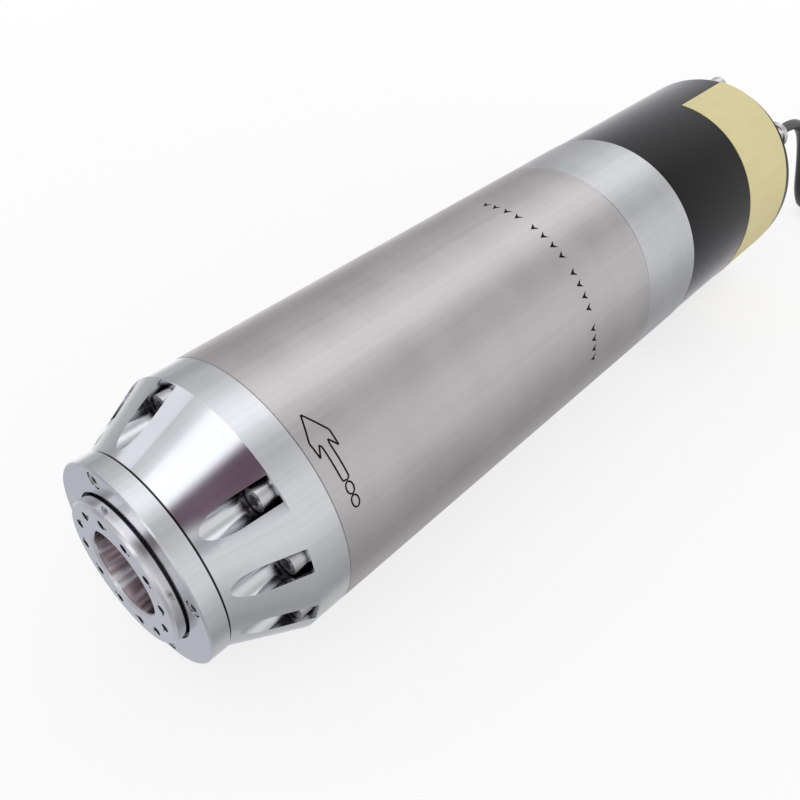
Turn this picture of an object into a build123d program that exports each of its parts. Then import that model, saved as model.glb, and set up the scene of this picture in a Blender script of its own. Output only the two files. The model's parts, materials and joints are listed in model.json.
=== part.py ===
"""Motor spindle with an automatic drawbar, lying on its side with the nose towards -Y.

Every place along the spindle is a station: its distance from the nose face, in millimetres.
Radii are measured from the spindle axis, and angles turn from +X towards +Z.
"""

import math
import os

from build123d import *

os.makedirs("parts", exist_ok=True)

# ------------------------------------------------------------------ clearances
SEAT = 0.02  # radial gap between pieces seated in one another
SLIDE = 0.05  # radial gap of a running or sliding fit
AIR = 0.3  # smallest air between pieces that pass each other
FACE_GAP = 0.1  # axial play left where one piece stops against another

# ------------------------------------------------------------------ outer body
BODY_R = 50.0
SEAM_CHAMFER = 0.25
NOSE_STEP = 4.5  # the nose disc stands this far in front of the cover
COVER_LEN = 7.75
COVER_R = 0.764 * BODY_R
COVER_EDGE = 0.5
JOINT_GROOVE = 0.6  # width of the shadow groove behind the cover
JOINT_GROOVE_DEPTH = 1.0
CONE_NOSE_R = 0.75 * BODY_R
CONE_LEN = 25.65
NOSE_RING_LEN = 13.35
TUBE_LEN = 182.55
TUBE_WALL = 3.0
REAR_RING_LEN = 39.0
CYLINDER_LEN = 93.2
CAP_LEN = 10.0
CAP_CHAMFER = 1.5

# ------------------------------------------------------------------ front cover
COVER_SPIGOT_LEN = 7.75
COVER_LIP_LEN = 6.5
COVER_RELIEF = 0.8  # axial air behind the nose disc
COVER_SCREWS = 4
COVER_SCREW_PCR = 0.68 * BODY_R
COVER_SCREW_PHASE = 15.5
COVER_SCREW_DEPTH = 6.0  # thread length in the nose housing

# ------------------------------------------------------------------ nose housing pockets
POCKET_W = 9.4
POCKET_PCR = 0.87 * BODY_R
POCKET_GROUPS = 3
POCKETS_PER_GROUP = 3
POCKET_STEP = 30.0  # degrees between pockets of one group
POCKET_PHASE = 15.5  # middle pocket of the first group
POCKET_LIP = 0.4  # metal left between the pocket wall and the cone's corner
HOUSING_SPIGOT_LEN = 6.0

# ------------------------------------------------------------------ cap screws: shank and head
M3_R, M3_HEAD_R, M3_HEAD_LEN, M3_KEY_R = 1.45, 2.75, 3.0, 1.45
M4_R, M4_HEAD_R, M4_HEAD_LEN, M4_KEY_R = 1.95, 3.5, 4.0, 1.75
M5_R, M5_HEAD_R, M5_HEAD_LEN, M5_KEY_R = 2.45, 4.25, 5.0, 2.3
SCREW_CLEARANCE = 0.2  # added to a shank radius for its through hole
HEAD_CLEARANCE = 0.3  # added to a head radius for its counterbore
THREAD_CLEARANCE = 0.03  # added to a shank radius where it screws in
TAP_RUNOUT = 1.0  # a tapped hole is this much deeper than its screw
KEY_DEPTH_SHARE = 0.5  # depth of the hex socket as a share of the head

# ------------------------------------------------------------------ shaft
NOSE_DISC_R = 0.54 * BODY_R
NOSE_DISC_LEN = 9.2
NOSE_DISC_GAP = 0.9  # black gap between nose disc and cover
NOSE_CHAMFER = 0.9
NECK_R = 0.44 * BODY_R
NECK_LEN = 7.8
SHOULDER_R = 0.412 * BODY_R
TAPER_GAUGE_R = 15.875
TAPER_RATIO = 7 / 24  # change of diameter along the axis
TAPER_LEN = 48.0
MOUTH_CHAMFER = 1.0
RECESS_R = 10.8
RECESS_LEN = 12.0
GRIP_BORE_R = 9.2
GRIP_BORE_LEN = 30.0
SPRING_BORE_R = 11.0
SHAFT_TAIL_LEN = 16.0  # behind the rear bearings
NOSE_HOLES = 12
NOSE_HOLE_PCR = 0.436 * BODY_R
NOSE_HOLE_R = 1.65
NOSE_HOLE_DEPTH = 7.0
NOSE_HOLE_PHASE = 7.0
DIMPLE_R = 0.6
DIMPLE_DEPTH = 0.8
DIMPLE_TURN = 6.5  # degrees from each tapped hole

# ------------------------------------------------------------------ bearings
FRONT_BORE_R, FRONT_OUTER_R, FRONT_WIDTH = 0.35 * BODY_R, 0.62 * BODY_R, 14.0
FRONT_BALL_R, FRONT_BALL_PCR, FRONT_BALLS = 0.077 * BODY_R, 0.485 * BODY_R, 8
REAR_BORE_R, REAR_OUTER_R, REAR_WIDTH = 0.3 * BODY_R, 0.55 * BODY_R, 13.0
REAR_BALL_R, REAR_BALL_PCR, REAR_BALLS = 0.069 * BODY_R, 0.425 * BODY_R, 8
GROOVE_CLEARANCE = 0.3  # groove radius minus ball radius
RING_LAND = 0.048 * BODY_R  # from the ball circle to the land of either ring
CAGE_HALF = 1.1  # half the cage's radial thickness
SPACER_LEN = 6.0
SPACER_WALL = 3.0
PRELOAD_LEN = 2.0
FRONT_NUT_R, FRONT_NUT_LEN = 0.48 * BODY_R, 8.0
REAR_NUT_R, REAR_NUT_LEN = 0.42 * BODY_R, 7.0
REAR_COVER_R, REAR_COVER_HOLE_R, REAR_COVER_LEN = 0.72 * BODY_R, 0.47 * BODY_R, 5.0
REAR_COVER_SCREWS = 4
REAR_COVER_SCREW_PCR = 0.63 * BODY_R
REAR_BEARING_OFFSET = 4.2  # from the tube's rear end to the first rear bearing

# ------------------------------------------------------------------ motor
ROTOR_SEAT_R = 0.33 * BODY_R
ROTOR_R = 0.48 * BODY_R
AIR_GAP = 0.5
STACK_OFFSET = 33.75  # from the tube's front end to the core
STACK_REAR_ROOM = 33.8  # from the core to the tube's rear end
STACK_LEN = TUBE_LEN - STACK_OFFSET - STACK_REAR_ROOM
END_RING_LEN = 6.0
END_RING_R = 0.468 * BODY_R
SLOTS = 12
SLOT_W = 4.6
SLOT_FLOOR_R = 0.68 * BODY_R
TOOTH_TIP_LEN = 2.0
WINDING_GAP = 0.2  # insulation between copper and core
END_TURN_LEN = 15.0
END_TURN_R = 0.73 * BODY_R

# ------------------------------------------------------------------ cooling jacket
JACKET_BORE_R = 0.76 * BODY_R
CHANNELS = 6
CHANNEL_RIB = 6.0
CHANNEL_END_LEN = 22.275  # from either end of the jacket to the first channel
CHANNEL_FLOOR_R = 0.85 * BODY_R
CHANNEL_PASS_W = 10.0
SEAL_W, SEAL_T = 2.4, 1.6
SEAL_OFFSET = 12.0  # from either end of the jacket
JACKET_THREAD_LEN = 8.0

# ------------------------------------------------------------------ rear ring
RING_SCREWS = 6
RING_SCREW_PCR = 0.852 * BODY_R
RING_SCREW_SINK = 18.0  # depth of the head below the ring's rear face
RING_SCREW_THREAD = 8.0
RING_SPIGOT_LEN = 6.0
RING_LIP_R = 0.41 * BODY_R

# ------------------------------------------------------------------ drawbar and gripper
DRAWBAR_STROKE = 6.0
TAIL_MARGIN = 2.0  # of the drawbar's tail still outside the shaft at full stroke
ROD_R = 5.0
STACK_SPRING_R = 10.5
STACK_SPRING_LEN = 110.0
DISCS = 12
DISC_T = 2.2
COLLAR_LEN = 14.0
TAIL_R = 8.0
TAIL_OVERHANG = DRAWBAR_STROKE + TAIL_MARGIN  # beyond the shaft's rear end
ROD_THREAD_LEN = 20.0
PETALS = 4
PETAL_SPAN = 78.0
PETAL_FRONT_GAP = 10.0  # from the taper's small end to the closed petals
PETAL_HEAD_LEN = 6.0
PETAL_HEAD_R = 8.6
PETAL_BEVEL = 1.0
PETAL_ARM_R = 8.0
PETAL_ARM_BORE_R = 5.6
PETAL_LIP_R = 4.6
PETAL_LEN = 23.0
PETAL_FOOT_LEN = 4.0
PETAL_FOOT_BORE_R = 3.9
ROD_GROOVE_R = 3.4
ROD_GROOVE_PLAY = 1.0
ROD_HEAD_LEN = 5.0
ROD_HEAD_R = 4.6
ROD_FLANGE_R = 8.7
ROD_FLANGE_LEN = 7.0

# ------------------------------------------------------------------ pneumatic cylinder
PISTON_STROKE = 7.0
PISTON_IDLE = 1.1  # free travel before the piston meets the drawbar
CYLINDER_BORE_R = 0.8 * BODY_R
PLATE_LEN = 8.0  # fixed plates that the piston rod passes through
PISTON_LEN = 10.0
PISTON_ROD_R = 11.0
PISTON_ROD_STEP = 1.0  # each piston sits in a recess this deep round the rod
PISTON_BACK_GAP = 1.5
PISTON_FRONT_GAP = 4.5  # air ahead of a piston at full stroke
CHAMBER_LEN = PISTON_BACK_GAP + PISTON_LEN + PISTON_STROKE + PISTON_FRONT_GAP
PISTON_SEAL_W, PISTON_SEAL_T = 3.0, 2.5
LABEL_T = 0.3
TIE_SCREWS = 6
TIE_SCREW_PCR = 0.876 * BODY_R
TIE_SCREW_PHASE = 10.0
TIE_THREAD_LEN = 8.0
CARRIER_LEN = 16.0
CARRIER_WALL = 6.0
PROBE_R = 2.5
PROBE_AIR = 1.0  # between the toothed wheel and the tip of a probe
PROBE_SINK = 1.0  # from the outer end of a probe to the cylinder bore
WHEEL_R, WHEEL_LEN, WHEEL_TEETH, WHEEL_NOTCH = 0.4 * BODY_R, 4.0, 6, 3.0
PROBE_TIP_R = WHEEL_R + PROBE_AIR
WHEEL_OFFSET = 6.0  # from the rear end of the shaft to the wheel's front

# ------------------------------------------------------------------ label
LABEL_W = 41.0
LABEL_SPAN = 138.0
LABEL_START = 93.0  # angle of its first end, from which it runs clockwise
LABEL_REAR_GAP = 4.8  # mean distance of its rear edge from the rear face
LABEL_TILT = 4.2  # degrees that it is stuck on askew

# ------------------------------------------------------------------ rear fittings and gland
PORT_THREAD_R, PORT_THREAD_LEN = 4.0, 7.0
PORT_PCR = 0.852 * BODY_R
PORT_HEX_R, PORT_HEX_LEN = 5.6, 4.5
PORT_SLEEVE_R, PORT_SLEEVE_LEN = 5.0, 9.0
PORT_EDGE = 1.6
AIR_PORT_ANGLES = (99.0, 160.0)
AIR_HOLE_R = 1.9
WATER_PORT_ANGLES = (222.0, 280.0)
WATER_HOLE_R = 1.9
BARB_R, BARB_LEN, BARB_STEP = 3.6, 12.0, 0.7
GLAND_ANGLE = 41.0
GLAND_PCR = 0.83 * BODY_R
GLAND_THREAD_R, GLAND_THREAD_LEN = 5.0, 7.0
GLAND_HEX_R, GLAND_HEX_LEN = 7.7, 4.0
GLAND_NUT_R, GLAND_NUT_LEN, GLAND_MOUTH_R = 7.3, 11.0, 3.7

# ------------------------------------------------------------------ cable
CABLE_R = 2.75
COIL_R = 30.0  # middle of the turns
COIL_WIDTH = 16.5
COIL_HEIGHT = 14.0
COIL_EDGE = 2.5
COIL_X, COIL_Y = 70.0, 300.0
PLUG_R, PLUG_LEN = 9.0, 34.0
PLUG_BOOT_R, PLUG_BOOT_LEN = 5.0, 12.0
PLUG_PIN_R, PLUG_PIN_LEN = 6.5, 6.0
TAIL_RUN = 24.0  # cable between the coil and the plug
CABLE_STRAIGHT = 19.0  # from the gland to the first bend
COIL_LEAD = 26.0  # straight run on the floor before the coil

# ------------------------------------------------------------------ bolt circles
# radius, number of screws, angle of the first
COVER_CIRCLE = (COVER_SCREW_PCR, COVER_SCREWS, COVER_SCREW_PHASE)
REAR_COVER_CIRCLE = (REAR_COVER_SCREW_PCR, REAR_COVER_SCREWS, 0)
RING_CIRCLE = (RING_SCREW_PCR, RING_SCREWS, 0)
TIE_CIRCLE = (TIE_SCREW_PCR, TIE_SCREWS, TIE_SCREW_PHASE)

# ------------------------------------------------------------------ stations
COVER_FRONT = NOSE_STEP
COVER_REAR = COVER_FRONT + COVER_LEN
CONE_REAR = COVER_REAR + CONE_LEN
TUBE_FRONT = CONE_REAR + NOSE_RING_LEN
TUBE_REAR = TUBE_FRONT + TUBE_LEN
RING_REAR = TUBE_REAR + REAR_RING_LEN
CAP_FRONT = RING_REAR + CYLINDER_LEN
CAP_REAR = CAP_FRONT + CAP_LEN
GLAND_END = CAP_REAR + GLAND_HEX_LEN + GLAND_NUT_LEN

BEARING_1 = COVER_REAR + COVER_SPIGOT_LEN
BEARING_2 = BEARING_1 + FRONT_WIDTH + SPACER_LEN
FRONT_BEARINGS = (BEARING_1, BEARING_2)
FRONT_NUT = BEARING_2 + FRONT_WIDTH
BEARING_3 = TUBE_REAR + REAR_BEARING_OFFSET
BEARING_4 = BEARING_3 + REAR_WIDTH
REAR_BEARINGS = (BEARING_3, BEARING_4)
REAR_NUT = BEARING_4 + REAR_WIDTH
SHAFT_END = REAR_NUT + SHAFT_TAIL_LEN
CORE_FRONT = TUBE_FRONT + STACK_OFFSET
CORE_REAR = CORE_FRONT + STACK_LEN

TAPER_END_R = TAPER_GAUGE_R - TAPER_LEN * TAPER_RATIO / 2
RECESS_END = TAPER_LEN + RECESS_LEN
SPRING_FRONT = RECESS_END + GRIP_BORE_LEN
SPRING_REAR = SPRING_FRONT + STACK_SPRING_LEN
TAIL_END = SHAFT_END + TAIL_OVERHANG
ROD_FRONT_FACE = TAIL_END + PISTON_IDLE
DIVIDER_REAR = CAP_FRONT - CHAMBER_LEN
DIVIDER_FRONT = DIVIDER_REAR - PLATE_LEN
WALL_REAR = DIVIDER_FRONT - CHAMBER_LEN
WALL_FRONT = WALL_REAR - PLATE_LEN
PISTON_REARS = (DIVIDER_FRONT - PISTON_BACK_GAP, CAP_FRONT - PISTON_BACK_GAP)

CYLINDER_R = BODY_R - LABEL_T  # the label is flush with the body
JACKET_R = BODY_R - TUBE_WALL - SEAT

# ------------------------------------------------------------------ the part's frame
NOSE_Y = -GLAND_END / 2
AXIS_Z = BODY_R
AXIS_PLANE = Plane(origin=(0, NOSE_Y, AXIS_Z), x_dir=(0, 1, 0), z_dir=(1, 0, 0))
SPINDLE_AXIS = Axis((0, NOSE_Y, AXIS_Z), (0, 1, 0))


def station(distance):
    """Cross-section plane at a station: x is +X, y is +Z, and its normal points to the nose."""
    return Plane(origin=(0, NOSE_Y + distance, AXIS_Z), x_dir=(1, 0, 0), z_dir=(0, -1, 0))


def at_angle(distance, radius, angle):
    """Cross-section plane whose origin lies at a radius and an angle about the axis."""
    turn = math.radians(angle)
    origin = (radius * math.cos(turn), NOSE_Y + distance, AXIS_Z + radius * math.sin(turn))
    return Plane(origin=origin, x_dir=(math.cos(turn), 0, math.sin(turn)), z_dir=(0, -1, 0))


def turned(*points):
    """Closed half-section of a turned piece, from (station, radius) points."""
    with BuildSketch(AXIS_PLANE) as section:
        with BuildLine():
            Polyline(*points, close=True)
        make_face()
    return section.sketch


def ring(front, rear, inner, outer):
    """Half-section of a plain ring between two stations."""
    return turned((front, inner), (rear, inner), (rear, outer), (front, outer))


def circle_of_holes(distance, radius, count, phase, hole_r):
    """Circles on a pitch circle at a station."""
    with BuildSketch(station(distance)) as holes:
        with PolarLocations(radius, count, start_angle=phase):
            Circle(hole_r)
    return holes.sketch


def circle_of_keys(distance, radius, count, phase, key_r):
    """Hexagons on a pitch circle at a station."""
    with BuildSketch(station(distance)) as keys:
        with PolarLocations(radius, count, start_angle=phase):
            RegularPolygon(key_r, 6)
    return keys.sketch


# ================================================================== housing: the nose

with BuildPart() as front_cover:
    bore = NOSE_DISC_R + NOSE_DISC_GAP
    lip_front = NOSE_DISC_LEN + COVER_RELIEF
    lip_rear = lip_front + COVER_LIP_LEN
    spigot_bore = FRONT_OUTER_R - SPACER_WALL - AIR
    groove_front = COVER_REAR - JOINT_GROOVE
    with BuildSketch(AXIS_PLANE):
        with BuildLine():
            Polyline(
                (COVER_FRONT, bore),
                (lip_front, bore),
                (lip_front, NECK_R + AIR),
                (lip_rear, NECK_R + AIR),
                (lip_rear, spigot_bore),
                (BEARING_1, spigot_bore),
                (BEARING_1, FRONT_OUTER_R - SEAT),
                (COVER_REAR, FRONT_OUTER_R - SEAT),
                (COVER_REAR, COVER_R - JOINT_GROOVE_DEPTH),
                (groove_front, COVER_R - JOINT_GROOVE_DEPTH),
                (groove_front, COVER_R),
                (COVER_FRONT + COVER_EDGE, COVER_R),
                (COVER_FRONT, COVER_R - COVER_EDGE),
                close=True,
            )
        make_face()
    revolve(axis=SPINDLE_AXIS)
    cover_screw_face = COVER_FRONT + M3_HEAD_LEN + AIR
    sink = circle_of_holes(COVER_FRONT, *COVER_CIRCLE, M3_HEAD_R + HEAD_CLEARANCE)
    extrude(sink, amount=COVER_FRONT - cover_screw_face, mode=Mode.SUBTRACT)
    holes = circle_of_holes(COVER_FRONT, *COVER_CIRCLE, M3_R + SCREW_CLEARANCE)
    extrude(holes, amount=-COVER_LEN, mode=Mode.SUBTRACT)
front_cover.part.label = "front_cover"
export_step(front_cover.part, "parts/front_cover.step")

with BuildPart() as front_cover_screws:
    shanks = circle_of_holes(cover_screw_face, *COVER_CIRCLE, M3_R)
    extrude(shanks, amount=-(COVER_REAR - cover_screw_face + COVER_SCREW_DEPTH))
    heads = circle_of_holes(cover_screw_face, *COVER_CIRCLE, M3_HEAD_R)
    extrude(heads, amount=M3_HEAD_LEN)
    keys = circle_of_keys(cover_screw_face - M3_HEAD_LEN, *COVER_CIRCLE, M3_KEY_R)
    extrude(keys, amount=-M3_HEAD_LEN * KEY_DEPTH_SHARE, mode=Mode.SUBTRACT)
front_cover_screws.part.label = "front_cover_screws"
export_step(front_cover_screws.part, "parts/front_cover_screws.step")

POCKET_REAR = CONE_REAR - POCKET_LIP
POCKET_FIRST = [
    POCKET_PHASE + 360 / POCKET_GROUPS * group - POCKET_STEP * (POCKETS_PER_GROUP - 1) / 2
    for group in range(POCKET_GROUPS)
]
POCKET_ANGLES = [
    first + POCKET_STEP * number for first in POCKET_FIRST for number in range(POCKETS_PER_GROUP)
]

with BuildPart() as nose_housing:
    spigot_rear = TUBE_FRONT + HOUSING_SPIGOT_LEN
    with BuildSketch(AXIS_PLANE):
        with BuildLine():
            Polyline(
                (COVER_REAR, FRONT_OUTER_R),
                (FRONT_NUT, FRONT_OUTER_R),
                (FRONT_NUT, spigot_bore),
                (spigot_rear, spigot_bore),
                (spigot_rear, JACKET_BORE_R - SEAT),
                (TUBE_FRONT, JACKET_BORE_R - SEAT),
                (TUBE_FRONT, BODY_R - SEAM_CHAMFER),
                (TUBE_FRONT - SEAM_CHAMFER, BODY_R),
                (CONE_REAR, BODY_R),
                (COVER_REAR, CONE_NOSE_R),
                close=True,
            )
        make_face()
    revolve(axis=SPINDLE_AXIS)
    # U-shaped screw pockets, open outwards, that run out through the cone
    for angle in POCKET_ANGLES:
        with BuildSketch(at_angle(POCKET_REAR, POCKET_PCR, angle)):
            Circle(POCKET_W / 2)
            Rectangle(BODY_R, POCKET_W, align=(Align.MIN, Align.CENTER))
        extrude(amount=POCKET_REAR - COVER_REAR, mode=Mode.SUBTRACT)
        with BuildSketch(at_angle(TUBE_FRONT, POCKET_PCR, angle)):
            Circle(M5_R + SCREW_CLEARANCE)
        extrude(amount=TUBE_FRONT - POCKET_REAR, mode=Mode.SUBTRACT)
    taps = circle_of_holes(COVER_REAR, *COVER_CIRCLE, M3_R + THREAD_CLEARANCE)
    extrude(taps, amount=-(COVER_SCREW_DEPTH + TAP_RUNOUT), mode=Mode.SUBTRACT)
nose_housing.part.label = "nose_housing"
export_step(nose_housing.part, "parts/nose_housing.step")

with BuildPart() as nose_screws:
    shank = TUBE_FRONT - POCKET_REAR + JACKET_THREAD_LEN
    for angle in POCKET_ANGLES:
        with BuildSketch(at_angle(POCKET_REAR + shank, POCKET_PCR, angle)):
            Circle(M5_R)
        extrude(amount=shank)
        with BuildSketch(at_angle(POCKET_REAR, POCKET_PCR, angle)):
            Circle(M5_HEAD_R)
        extrude(amount=M5_HEAD_LEN)
        with BuildSketch(at_angle(POCKET_REAR - M5_HEAD_LEN, POCKET_PCR, angle)):
            RegularPolygon(M5_KEY_R, 6)
        extrude(amount=-M5_HEAD_LEN * KEY_DEPTH_SHARE, mode=Mode.SUBTRACT)
nose_screws.part.label = "nose_screws"
export_step(nose_screws.part, "parts/nose_screws.step")

# ================================================================== housing: body and jacket

with BuildPart() as body_tube:
    with BuildSketch(AXIS_PLANE):
        with BuildLine():
            Polyline(
                (TUBE_FRONT, BODY_R - TUBE_WALL),
                (TUBE_REAR, BODY_R - TUBE_WALL),
                (TUBE_REAR, BODY_R - SEAM_CHAMFER),
                (TUBE_REAR - SEAM_CHAMFER, BODY_R),
                (TUBE_FRONT + SEAM_CHAMFER, BODY_R),
                (TUBE_FRONT, BODY_R - SEAM_CHAMFER),
                close=True,
            )
        make_face()
    revolve(axis=SPINDLE_AXIS)
body_tube.part.label = "body_tube"
export_step(body_tube.part, "parts/body_tube.step")

CHANNELS_FRONT = TUBE_FRONT + CHANNEL_END_LEN
CHANNEL_W = (TUBE_LEN - 2 * CHANNEL_END_LEN + CHANNEL_RIB) / CHANNELS - CHANNEL_RIB
SEAL_FRONTS = (TUBE_FRONT + SEAL_OFFSET, TUBE_REAR - SEAL_OFFSET - SEAL_W)

with BuildPart() as cooling_jacket:
    revolve(ring(TUBE_FRONT, TUBE_REAR, JACKET_BORE_R, JACKET_R), axis=SPINDLE_AXIS)
    for number in range(CHANNELS):
        front = CHANNELS_FRONT + number * (CHANNEL_W + CHANNEL_RIB)
        channel = ring(front, front + CHANNEL_W, CHANNEL_FLOOR_R, BODY_R)
        revolve(channel, axis=SPINDLE_AXIS, mode=Mode.SUBTRACT)
    # the coolant passes each rib on alternate sides of the motor
    for number in range(CHANNELS - 1):
        rib_rear = CHANNELS_FRONT + (number + 1) * (CHANNEL_W + CHANNEL_RIB)
        with BuildSketch(at_angle(rib_rear, CHANNEL_FLOOR_R, 180 * (number % 2))):
            Rectangle(BODY_R, CHANNEL_PASS_W, align=(Align.MIN, Align.CENTER))
        extrude(amount=CHANNEL_RIB, mode=Mode.SUBTRACT)
    for front in SEAL_FRONTS:
        groove = ring(front - SEAT, front + SEAL_W + SEAT, JACKET_R - SEAL_T, BODY_R)
        revolve(groove, axis=SPINDLE_AXIS, mode=Mode.SUBTRACT)
    for angle in POCKET_ANGLES:
        with BuildSketch(at_angle(TUBE_FRONT, POCKET_PCR, angle)):
            Circle(M5_R + THREAD_CLEARANCE)
        extrude(amount=-(JACKET_THREAD_LEN + TAP_RUNOUT), mode=Mode.SUBTRACT)
    taps = circle_of_holes(TUBE_REAR, *RING_CIRCLE, M4_R + THREAD_CLEARANCE)
    extrude(taps, amount=RING_SCREW_THREAD + TAP_RUNOUT, mode=Mode.SUBTRACT)
cooling_jacket.part.label = "cooling_jacket"
export_step(cooling_jacket.part, "parts/cooling_jacket.step")

with BuildPart() as jacket_seals:
    for front in SEAL_FRONTS:
        seal = ring(front, front + SEAL_W, JACKET_R - SEAL_T + SEAT, JACKET_R)
        revolve(seal, axis=SPINDLE_AXIS)
jacket_seals.part.label = "jacket_seals"
export_step(jacket_seals.part, "parts/jacket_seals.step")

# ================================================================== housing: the stator

STATOR_BORE_R = ROTOR_R + AIR_GAP
SLOT_OPENING_R = STATOR_BORE_R + TOOTH_TIP_LEN

with BuildPart() as stator_core:
    revolve(ring(CORE_FRONT, CORE_REAR, STATOR_BORE_R, JACKET_BORE_R - SEAT), axis=SPINDLE_AXIS)
    with BuildSketch(station(CORE_REAR)):
        with PolarLocations((SLOT_OPENING_R + SLOT_FLOOR_R) / 2, SLOTS):
            Rectangle(SLOT_FLOOR_R - SLOT_OPENING_R, SLOT_W)
    extrude(amount=STACK_LEN, mode=Mode.SUBTRACT)
stator_core.part.label = "stator_core"
export_step(stator_core.part, "parts/stator_core.step")

with BuildPart() as stator_windings:
    inner, outer = SLOT_OPENING_R + WINDING_GAP, SLOT_FLOOR_R - WINDING_GAP
    for front in (CORE_FRONT - END_TURN_LEN, CORE_REAR + WINDING_GAP):
        rear = front + END_TURN_LEN - WINDING_GAP
        revolve(ring(front, rear, inner, END_TURN_R), axis=SPINDLE_AXIS)
    with BuildSketch(station(CORE_REAR + END_TURN_LEN / 2)):
        with PolarLocations((inner + outer) / 2, SLOTS):
            Rectangle(outer - inner, SLOT_W - 2 * WINDING_GAP)
    extrude(amount=STACK_LEN + END_TURN_LEN)
stator_windings.part.label = "stator_windings"
export_step(stator_windings.part, "parts/stator_windings.step")

# ================================================================== housing: the rear ring

REAR_COVER_FRONT = REAR_NUT
RING_SCREW_FACE = RING_REAR - RING_SCREW_SINK

with BuildPart() as rear_bearing_housing:
    preload_front = BEARING_3 - PRELOAD_LEN
    with BuildSketch(AXIS_PLANE):
        with BuildLine():
            Polyline(
                (TUBE_REAR - RING_SPIGOT_LEN, RING_LIP_R),
                (preload_front, RING_LIP_R),
                (preload_front, REAR_OUTER_R),
                (REAR_COVER_FRONT, REAR_OUTER_R),
                (REAR_COVER_FRONT, REAR_COVER_R + SEAT),
                (RING_REAR, REAR_COVER_R + SEAT),
                (RING_REAR, BODY_R - SEAM_CHAMFER),
                (RING_REAR - SEAM_CHAMFER, BODY_R),
                (TUBE_REAR + SEAM_CHAMFER, BODY_R),
                (TUBE_REAR, BODY_R - SEAM_CHAMFER),
                (TUBE_REAR, JACKET_BORE_R - SEAT),
                (TUBE_REAR - RING_SPIGOT_LEN, JACKET_BORE_R - SEAT),
                close=True,
            )
        make_face()
    revolve(axis=SPINDLE_AXIS)
    sink = circle_of_holes(RING_REAR, *RING_CIRCLE, M4_HEAD_R + HEAD_CLEARANCE)
    extrude(sink, amount=RING_SCREW_SINK, mode=Mode.SUBTRACT)
    holes = circle_of_holes(RING_REAR, *RING_CIRCLE, M4_R + SCREW_CLEARANCE)
    extrude(holes, amount=REAR_RING_LEN, mode=Mode.SUBTRACT)
    taps = circle_of_holes(RING_REAR, *TIE_CIRCLE, M4_R + THREAD_CLEARANCE)
    extrude(taps, amount=TIE_THREAD_LEN + TAP_RUNOUT, mode=Mode.SUBTRACT)
    taps = circle_of_holes(REAR_COVER_FRONT, *REAR_COVER_CIRCLE, M3_R + THREAD_CLEARANCE)
    extrude(taps, amount=COVER_SCREW_DEPTH + TAP_RUNOUT, mode=Mode.SUBTRACT)
rear_bearing_housing.part.label = "rear_bearing_housing"
export_step(rear_bearing_housing.part, "parts/rear_bearing_housing.step")

with BuildPart() as ring_screws:
    shank = RING_SCREW_FACE - TUBE_REAR + RING_SCREW_THREAD
    heads = circle_of_holes(RING_SCREW_FACE, *RING_CIRCLE, M4_HEAD_R)
    extrude(heads, amount=-M4_HEAD_LEN)
    shanks = circle_of_holes(RING_SCREW_FACE, *RING_CIRCLE, M4_R)
    extrude(shanks, amount=shank)
ring_screws.part.label = "ring_screws"
export_step(ring_screws.part, "parts/ring_screws.step")

with BuildPart() as preload_spring:
    spring = ring(preload_front, BEARING_3, REAR_OUTER_R - SPACER_WALL, REAR_OUTER_R - AIR)
    revolve(spring, axis=SPINDLE_AXIS)
preload_spring.part.label = "preload_spring"
export_step(preload_spring.part, "parts/preload_spring.step")

with BuildPart() as rear_bearing_cover:
    cover_rear = REAR_COVER_FRONT + REAR_COVER_LEN
    disc = ring(REAR_COVER_FRONT, cover_rear, REAR_COVER_HOLE_R, REAR_COVER_R)
    revolve(disc, axis=SPINDLE_AXIS)
    holes = circle_of_holes(cover_rear, *REAR_COVER_CIRCLE, M3_R + SCREW_CLEARANCE)
    extrude(holes, amount=REAR_COVER_LEN, mode=Mode.SUBTRACT)
rear_bearing_cover.part.label = "rear_bearing_cover"
export_step(rear_bearing_cover.part, "parts/rear_bearing_cover.step")

with BuildPart() as rear_cover_screws:
    heads = circle_of_holes(cover_rear, *REAR_COVER_CIRCLE, M3_HEAD_R)
    extrude(heads, amount=-M3_HEAD_LEN)
    shanks = circle_of_holes(cover_rear, *REAR_COVER_CIRCLE, M3_R)
    extrude(shanks, amount=REAR_COVER_LEN + COVER_SCREW_DEPTH)
rear_cover_screws.part.label = "rear_cover_screws"
export_step(rear_cover_screws.part, "parts/rear_cover_screws.step")

# ================================================================== bearings


def bearing_ring(front, rear, inner, outer, ball_pcr, ball_r):
    """Half-section of a bearing ring: a plain ring with the ball groove cut out of it."""
    with BuildSketch(AXIS_PLANE) as section:
        with BuildLine():
            Polyline((front, inner), (rear, inner), (rear, outer), (front, outer), close=True)
        make_face()
        with Locations(((front + rear) / 2, ball_pcr)):
            Circle(ball_r + GROOVE_CLEARANCE, mode=Mode.SUBTRACT)
    return section.sketch


with BuildPart() as front_outer_rings:
    for front in FRONT_BEARINGS:
        rear, land = front + FRONT_WIDTH, FRONT_BALL_PCR + RING_LAND
        outer = FRONT_OUTER_R - SEAT
        section = bearing_ring(front, rear, land, outer, FRONT_BALL_PCR, FRONT_BALL_R)
        revolve(section, axis=SPINDLE_AXIS)
front_outer_rings.part.label = "front_outer_rings"
export_step(front_outer_rings.part, "parts/front_outer_rings.step")

with BuildPart() as front_inner_rings:
    for front in FRONT_BEARINGS:
        rear, land = front + FRONT_WIDTH, FRONT_BALL_PCR - RING_LAND
        inner = FRONT_BORE_R + SEAT
        section = bearing_ring(front, rear, inner, land, FRONT_BALL_PCR, FRONT_BALL_R)
        revolve(section, axis=SPINDLE_AXIS)
front_inner_rings.part.label = "front_inner_rings"
export_step(front_inner_rings.part, "parts/front_inner_rings.step")

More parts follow.
